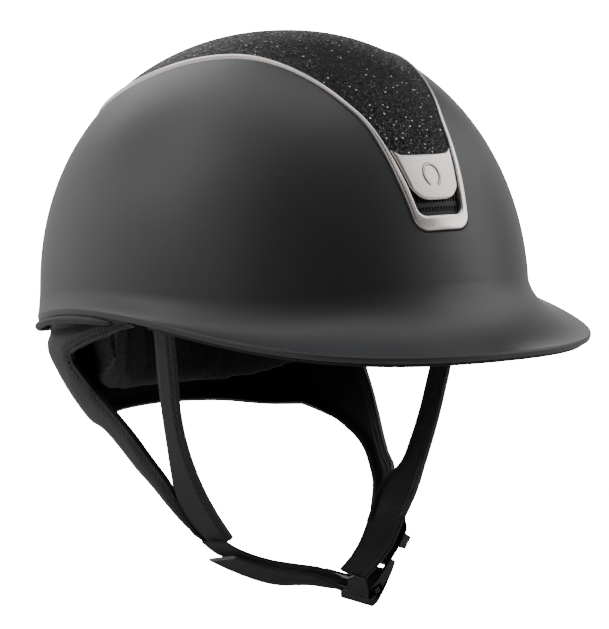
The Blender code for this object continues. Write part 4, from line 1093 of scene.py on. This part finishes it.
def webbing(name, route, count=90):
    """Tape along points in millimetres, each with its lean: a flat superellipse section that lies across Y."""
    route = np.array(route, float)
    chord = run_length(route[:, :3])
    route = curve(chord, route, np.linspace(0, chord[-1], count))
    line = route[:, :3] * MM
    ahead = unit(np.gradient(line, axis=0))
    distance = run_length(line)
    across = square_to(np.stack([np.zeros(count), np.ones(count), -route[:, 3]], -1), ahead)
    normal = np.cross(ahead, across)
    turn = np.linspace(0, 2 * math.pi, 41)
    wide = signed_power(np.cos(turn), 0.22) * WEB_WIDTH / 2
    thick = signed_power(np.sin(turn), 0.75) * WEB_WALL / 2
    grid = line[:, None] + across[:, None] * wide[None, :, None] + normal[:, None] * thick[None, :, None]
    ends = [np.broadcast_to(line[k], grid[0].shape)[None] for k in (0, -1)]
    uv = np.stack(np.broadcast_arrays(wide[None, :], distance[:, None]), -1)
    grid = np.concatenate([ends[0], grid, ends[1]])
    uv = np.concatenate([uv[:1], uv, uv[-1:]])
    return surface(name, grid, uv, sharp=60)


def weave(name, colour, end_at=None):
    """Woven tape: waved picks across it, fine warp lines along it, painted shade in the weave's hollows and
    painted light on its raised threads, and a paler sealed end where asked.
    """
    finish = Finish(name, Base_Color=colour, Roughness=0.78, Sheen_Weight=0.15, Specular_IOR_Level=0.35)
    across, run, _ = finish.parts(finish.place("UV"))
    waved = run + (across * (2 * math.pi / (5 * MM))).math("SINE") * (0.35 * MM)
    pick = (waved * (2 * math.pi / (1.1 * MM))).math("SINE") * 0.5 + 0.5
    warp = (across * (2 * math.pi / (0.75 * MM))).math("SINE") * 0.5 + 0.5
    fuzz = finish.noise(finish.place(), 2000.0, 3.0)
    height = pick * 0.6 + warp * 0.4
    # Painted light and shade: the weave's hollows are darkened to 0.45 of the colour and its raised threads
    # lightened to 1.5. The fuzz noise varies the tone at random.
    shade = finish.blend(height * (0.55 + 0.45 * fuzz), tint(colour, 0.45), tint(colour, 1.5))
    if end_at is not None:
        sealed = finish.step(end_at - run, -0.2 * MM, 1.1 * MM)
        shade = finish.blend(sealed, shade, (0.16, 0.16, 0.165))
        finish.shade(Roughness=0.78 - 0.38 * sealed)
    finish.shade(Base_Color=shade)
    finish.bump(height + 0.3 * fuzz, 0.22 * MM, 0.7)
    return finish


TAPE_BLACK = (0.016, 0.0135, 0.0135)
black_weave = weave("black_webbing_weave", TAPE_BLACK)
upper = webbing("chin_webbing_tape", [
    (-53.5, -21, -105.8, 0.2), (-47, -21, -110.4, 0.26), (-39.9, -21, -114.0, 0.28),
    (-28.2, -21, -118.4, 0.28), (-10.5, -21, -123.0, 0.28), (1.4, -21, -125.9, 0.28),
    (10, -21, -128.9, 0.2), (15.9, -21, -131.6, 0.1)])
upper.data.materials.append(black_weave.material)
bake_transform(upper)
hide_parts("chin_webbing")
tail = webbing("webbing_tail_tape", [
    (-49.5, -21, -114.1, 0.27), (-40, -21, -118.4, 0.36), (-28.2, -21, -123.4, 0.42), (-10.5, -21, -128.7, 0.53),
    (1.4, -21, -131.2, 0.42), (9, -21, -133.6, 0.24), (15.6, -21, -136.3, 0.10)])
tail_weave = weave("tail_webbing_weave", TAPE_BLACK, end_at=1.0 * MM)
fit(tail, tail_weave, "webbing", "webbing_tail", body="plug")
short = webbing("socket_webbing_tape", [
    (53.4, -21, -104.5, 0), (54.3, -21, -110.4, 0), (51.3, -21, -115.2, 0), (47.6, -21, -120.9, 0),
    (43.6, -21, -125.2, 0)], count=40)
fit(short, black_weave, "webbing", "left_webbing")

# ---------------------------------------------------------------- Side-release buckle and slider
# Black acetal mouldings: the plug's two sprung arms snap into the socket; the slider keeps the
# left tape's fold together.
acetal = moulded("black_acetal", (0.014, 0.014, 0.015), 0.34)
for node_name, body in (("buckle_socket", "root"), ("buckle_plug", "plug"),
                        ("release_arm_front", "arm_front"), ("release_arm_rear", "arm_rear"),
                        ("webbing_slider", "slider")):
    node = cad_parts[node_name]
    work = bmesh.new()
    work.from_mesh(node.data)
    work.transform(node.matrix_world)
    bmesh.ops.remove_doubles(work, verts=work.verts, dist=2e-5)
    bmesh.ops.dissolve_limit(work, angle_limit=math.radians(2), verts=work.verts, edges=work.edges)
    bmesh.ops.recalc_face_normals(work, faces=work.faces)
    mesh = bpy.data.meshes.new(node_name + "_rounded")
    work.to_mesh(mesh)
    work.free()
    piece = bpy.data.objects.new(mesh.name, mesh)
    bpy.context.scene.collection.objects.link(piece)
    rounding = piece.modifiers.new("Rounded edges", "BEVEL")
    rounding.width = (0.35 if "arm" in node_name else 0.6) * MM
    rounding.segments = 3
    rounding.limit_method = "ANGLE"
    rounding.angle_limit = math.radians(28)
    rounding.harden_normals = True
    mesh.shade_smooth()
    mesh.set_sharp_from_angle(angle=math.radians(30))
    fit(piece, acetal, "black_plastic", node_name, body=body)

# ---------------------------------------------------------------- Studio
# Pale floor and background, and a ring of square soft boxes: most light comes from the left and from
# behind on the right, so that the front of the helmet falls into shade.
FLOOR_SIDE, FLOOR_Z, WHITE = 30, -0.1475, 26.0
floor_corners = ((-1, -1), (1, -1), (1, 1), (-1, 1))
floor_points = np.array([(x * FLOOR_SIDE, y * FLOOR_SIDE, FLOOR_Z) for x, y in floor_corners])
floor = piece_of("studio_floor", floor_points, np.arange(4))
paper = Finish("pale_paper", Base_Color=(0.60, 0.60, 0.60), Roughness=0.9)
backlit = paper.node("ShaderNodeEmission", {}, {"Color": (1, 1, 1), "Strength": WHITE})[0]
by_eye = paper.node("ShaderNodeLightPath", {}, {})[0]
seen_paper = paper.node("ShaderNodeMixShader", {},
                        {0: by_eye * 0.9, 1: Value(paper, paper.shader.outputs[0]), 2: backlit})[0]
paper.tree.links.new(seen_paper.socket, paper.tree.nodes["Material Output"].inputs[0])
floor.data.materials.append(paper.material)

world = bpy.data.worlds.new("studio_air")
bpy.context.scene.world = world
world.use_nodes = True
air = world.node_tree.nodes["Background"]
air.inputs[0].default_value = (1, 1, 1, 1)
air.inputs[1].default_value = 0.04
white = world.node_tree.nodes.new("ShaderNodeBackground")
white.inputs[0].default_value = (1, 1, 1, 1)
white.inputs[1].default_value = WHITE
seen = world.node_tree.nodes.new("ShaderNodeLightPath")
choice = world.node_tree.nodes.new("ShaderNodeMixShader")
for source, target in ((seen.outputs["Is Camera Ray"], choice.inputs[0]),
                       (air.outputs[0], choice.inputs[1]), (white.outputs[0], choice.inputs[2]),
                       (choice.outputs[0], world.node_tree.nodes["World Output"].inputs[0])):
    world.node_tree.links.new(source, target)

FRONT_OF_SET = math.atan2(-0.816, -0.571)
BOX_SIDE, BOX_DISTANCE = 0.9, 1.7
# Degrees round from the camera (left is negative), degrees above the floor, watts
SOFT_BOXES = ((-60, 8, 1.6), (-60, 35, 1.0), (-60, 60, 1.2), (-90, 8, 1.9), (-90, 35, 5.2), (-120, 8, 2.8),
              (-120, 60, 4.0), (-150, 8, 1.9), (-150, 35, 5.6), (180, 8, 4.6), (150, 8, 1.6), (120, 8, 1.0),
              (120, 35, 3.9), (120, 60, 3.0), (90, 8, 6.0), (90, 35, 4.4), (60, 8, 1.1), (0, 89, 4.5))
for number, (turned, raised, watts) in enumerate(SOFT_BOXES, 1):
    angle = FRONT_OF_SET + math.radians(turned)
    raised = math.radians(raised)
    lamp = bpy.data.lights.new("soft_box_%02d" % number, "AREA")
    lamp.size, lamp.energy = BOX_SIDE, watts
    light = bpy.data.objects.new(lamp.name, lamp)
    level = math.cos(raised)
    away = Vector((math.cos(angle) * level, math.sin(angle) * level, math.sin(raised)))
    light.location = away * BOX_DISTANCE + Vector((0, 0, 0.03))
    light.rotation_euler = away.to_track_quat("Z", "Y").to_euler()
    bpy.context.scene.collection.objects.link(light)

# The camera stands 1.44 m from the helmet, 35 degrees round to its right and a little above it
camera_data = bpy.data.cameras.new("product_camera")
camera_data.lens = 168.95
camera_data.sensor_width = 36
camera_data.clip_start = 0.01
camera = bpy.data.objects.new("product_camera", camera_data)
camera.location = (-0.8235, -1.1761, 0.1722)
aim = Vector((0.0073, -0.0097, -0.0015)) - camera.location
camera.rotation_euler = aim.to_track_quat("-Z", "Y").to_euler()
bpy.context.scene.collection.objects.link(camera)
bpy.context.scene.camera = camera
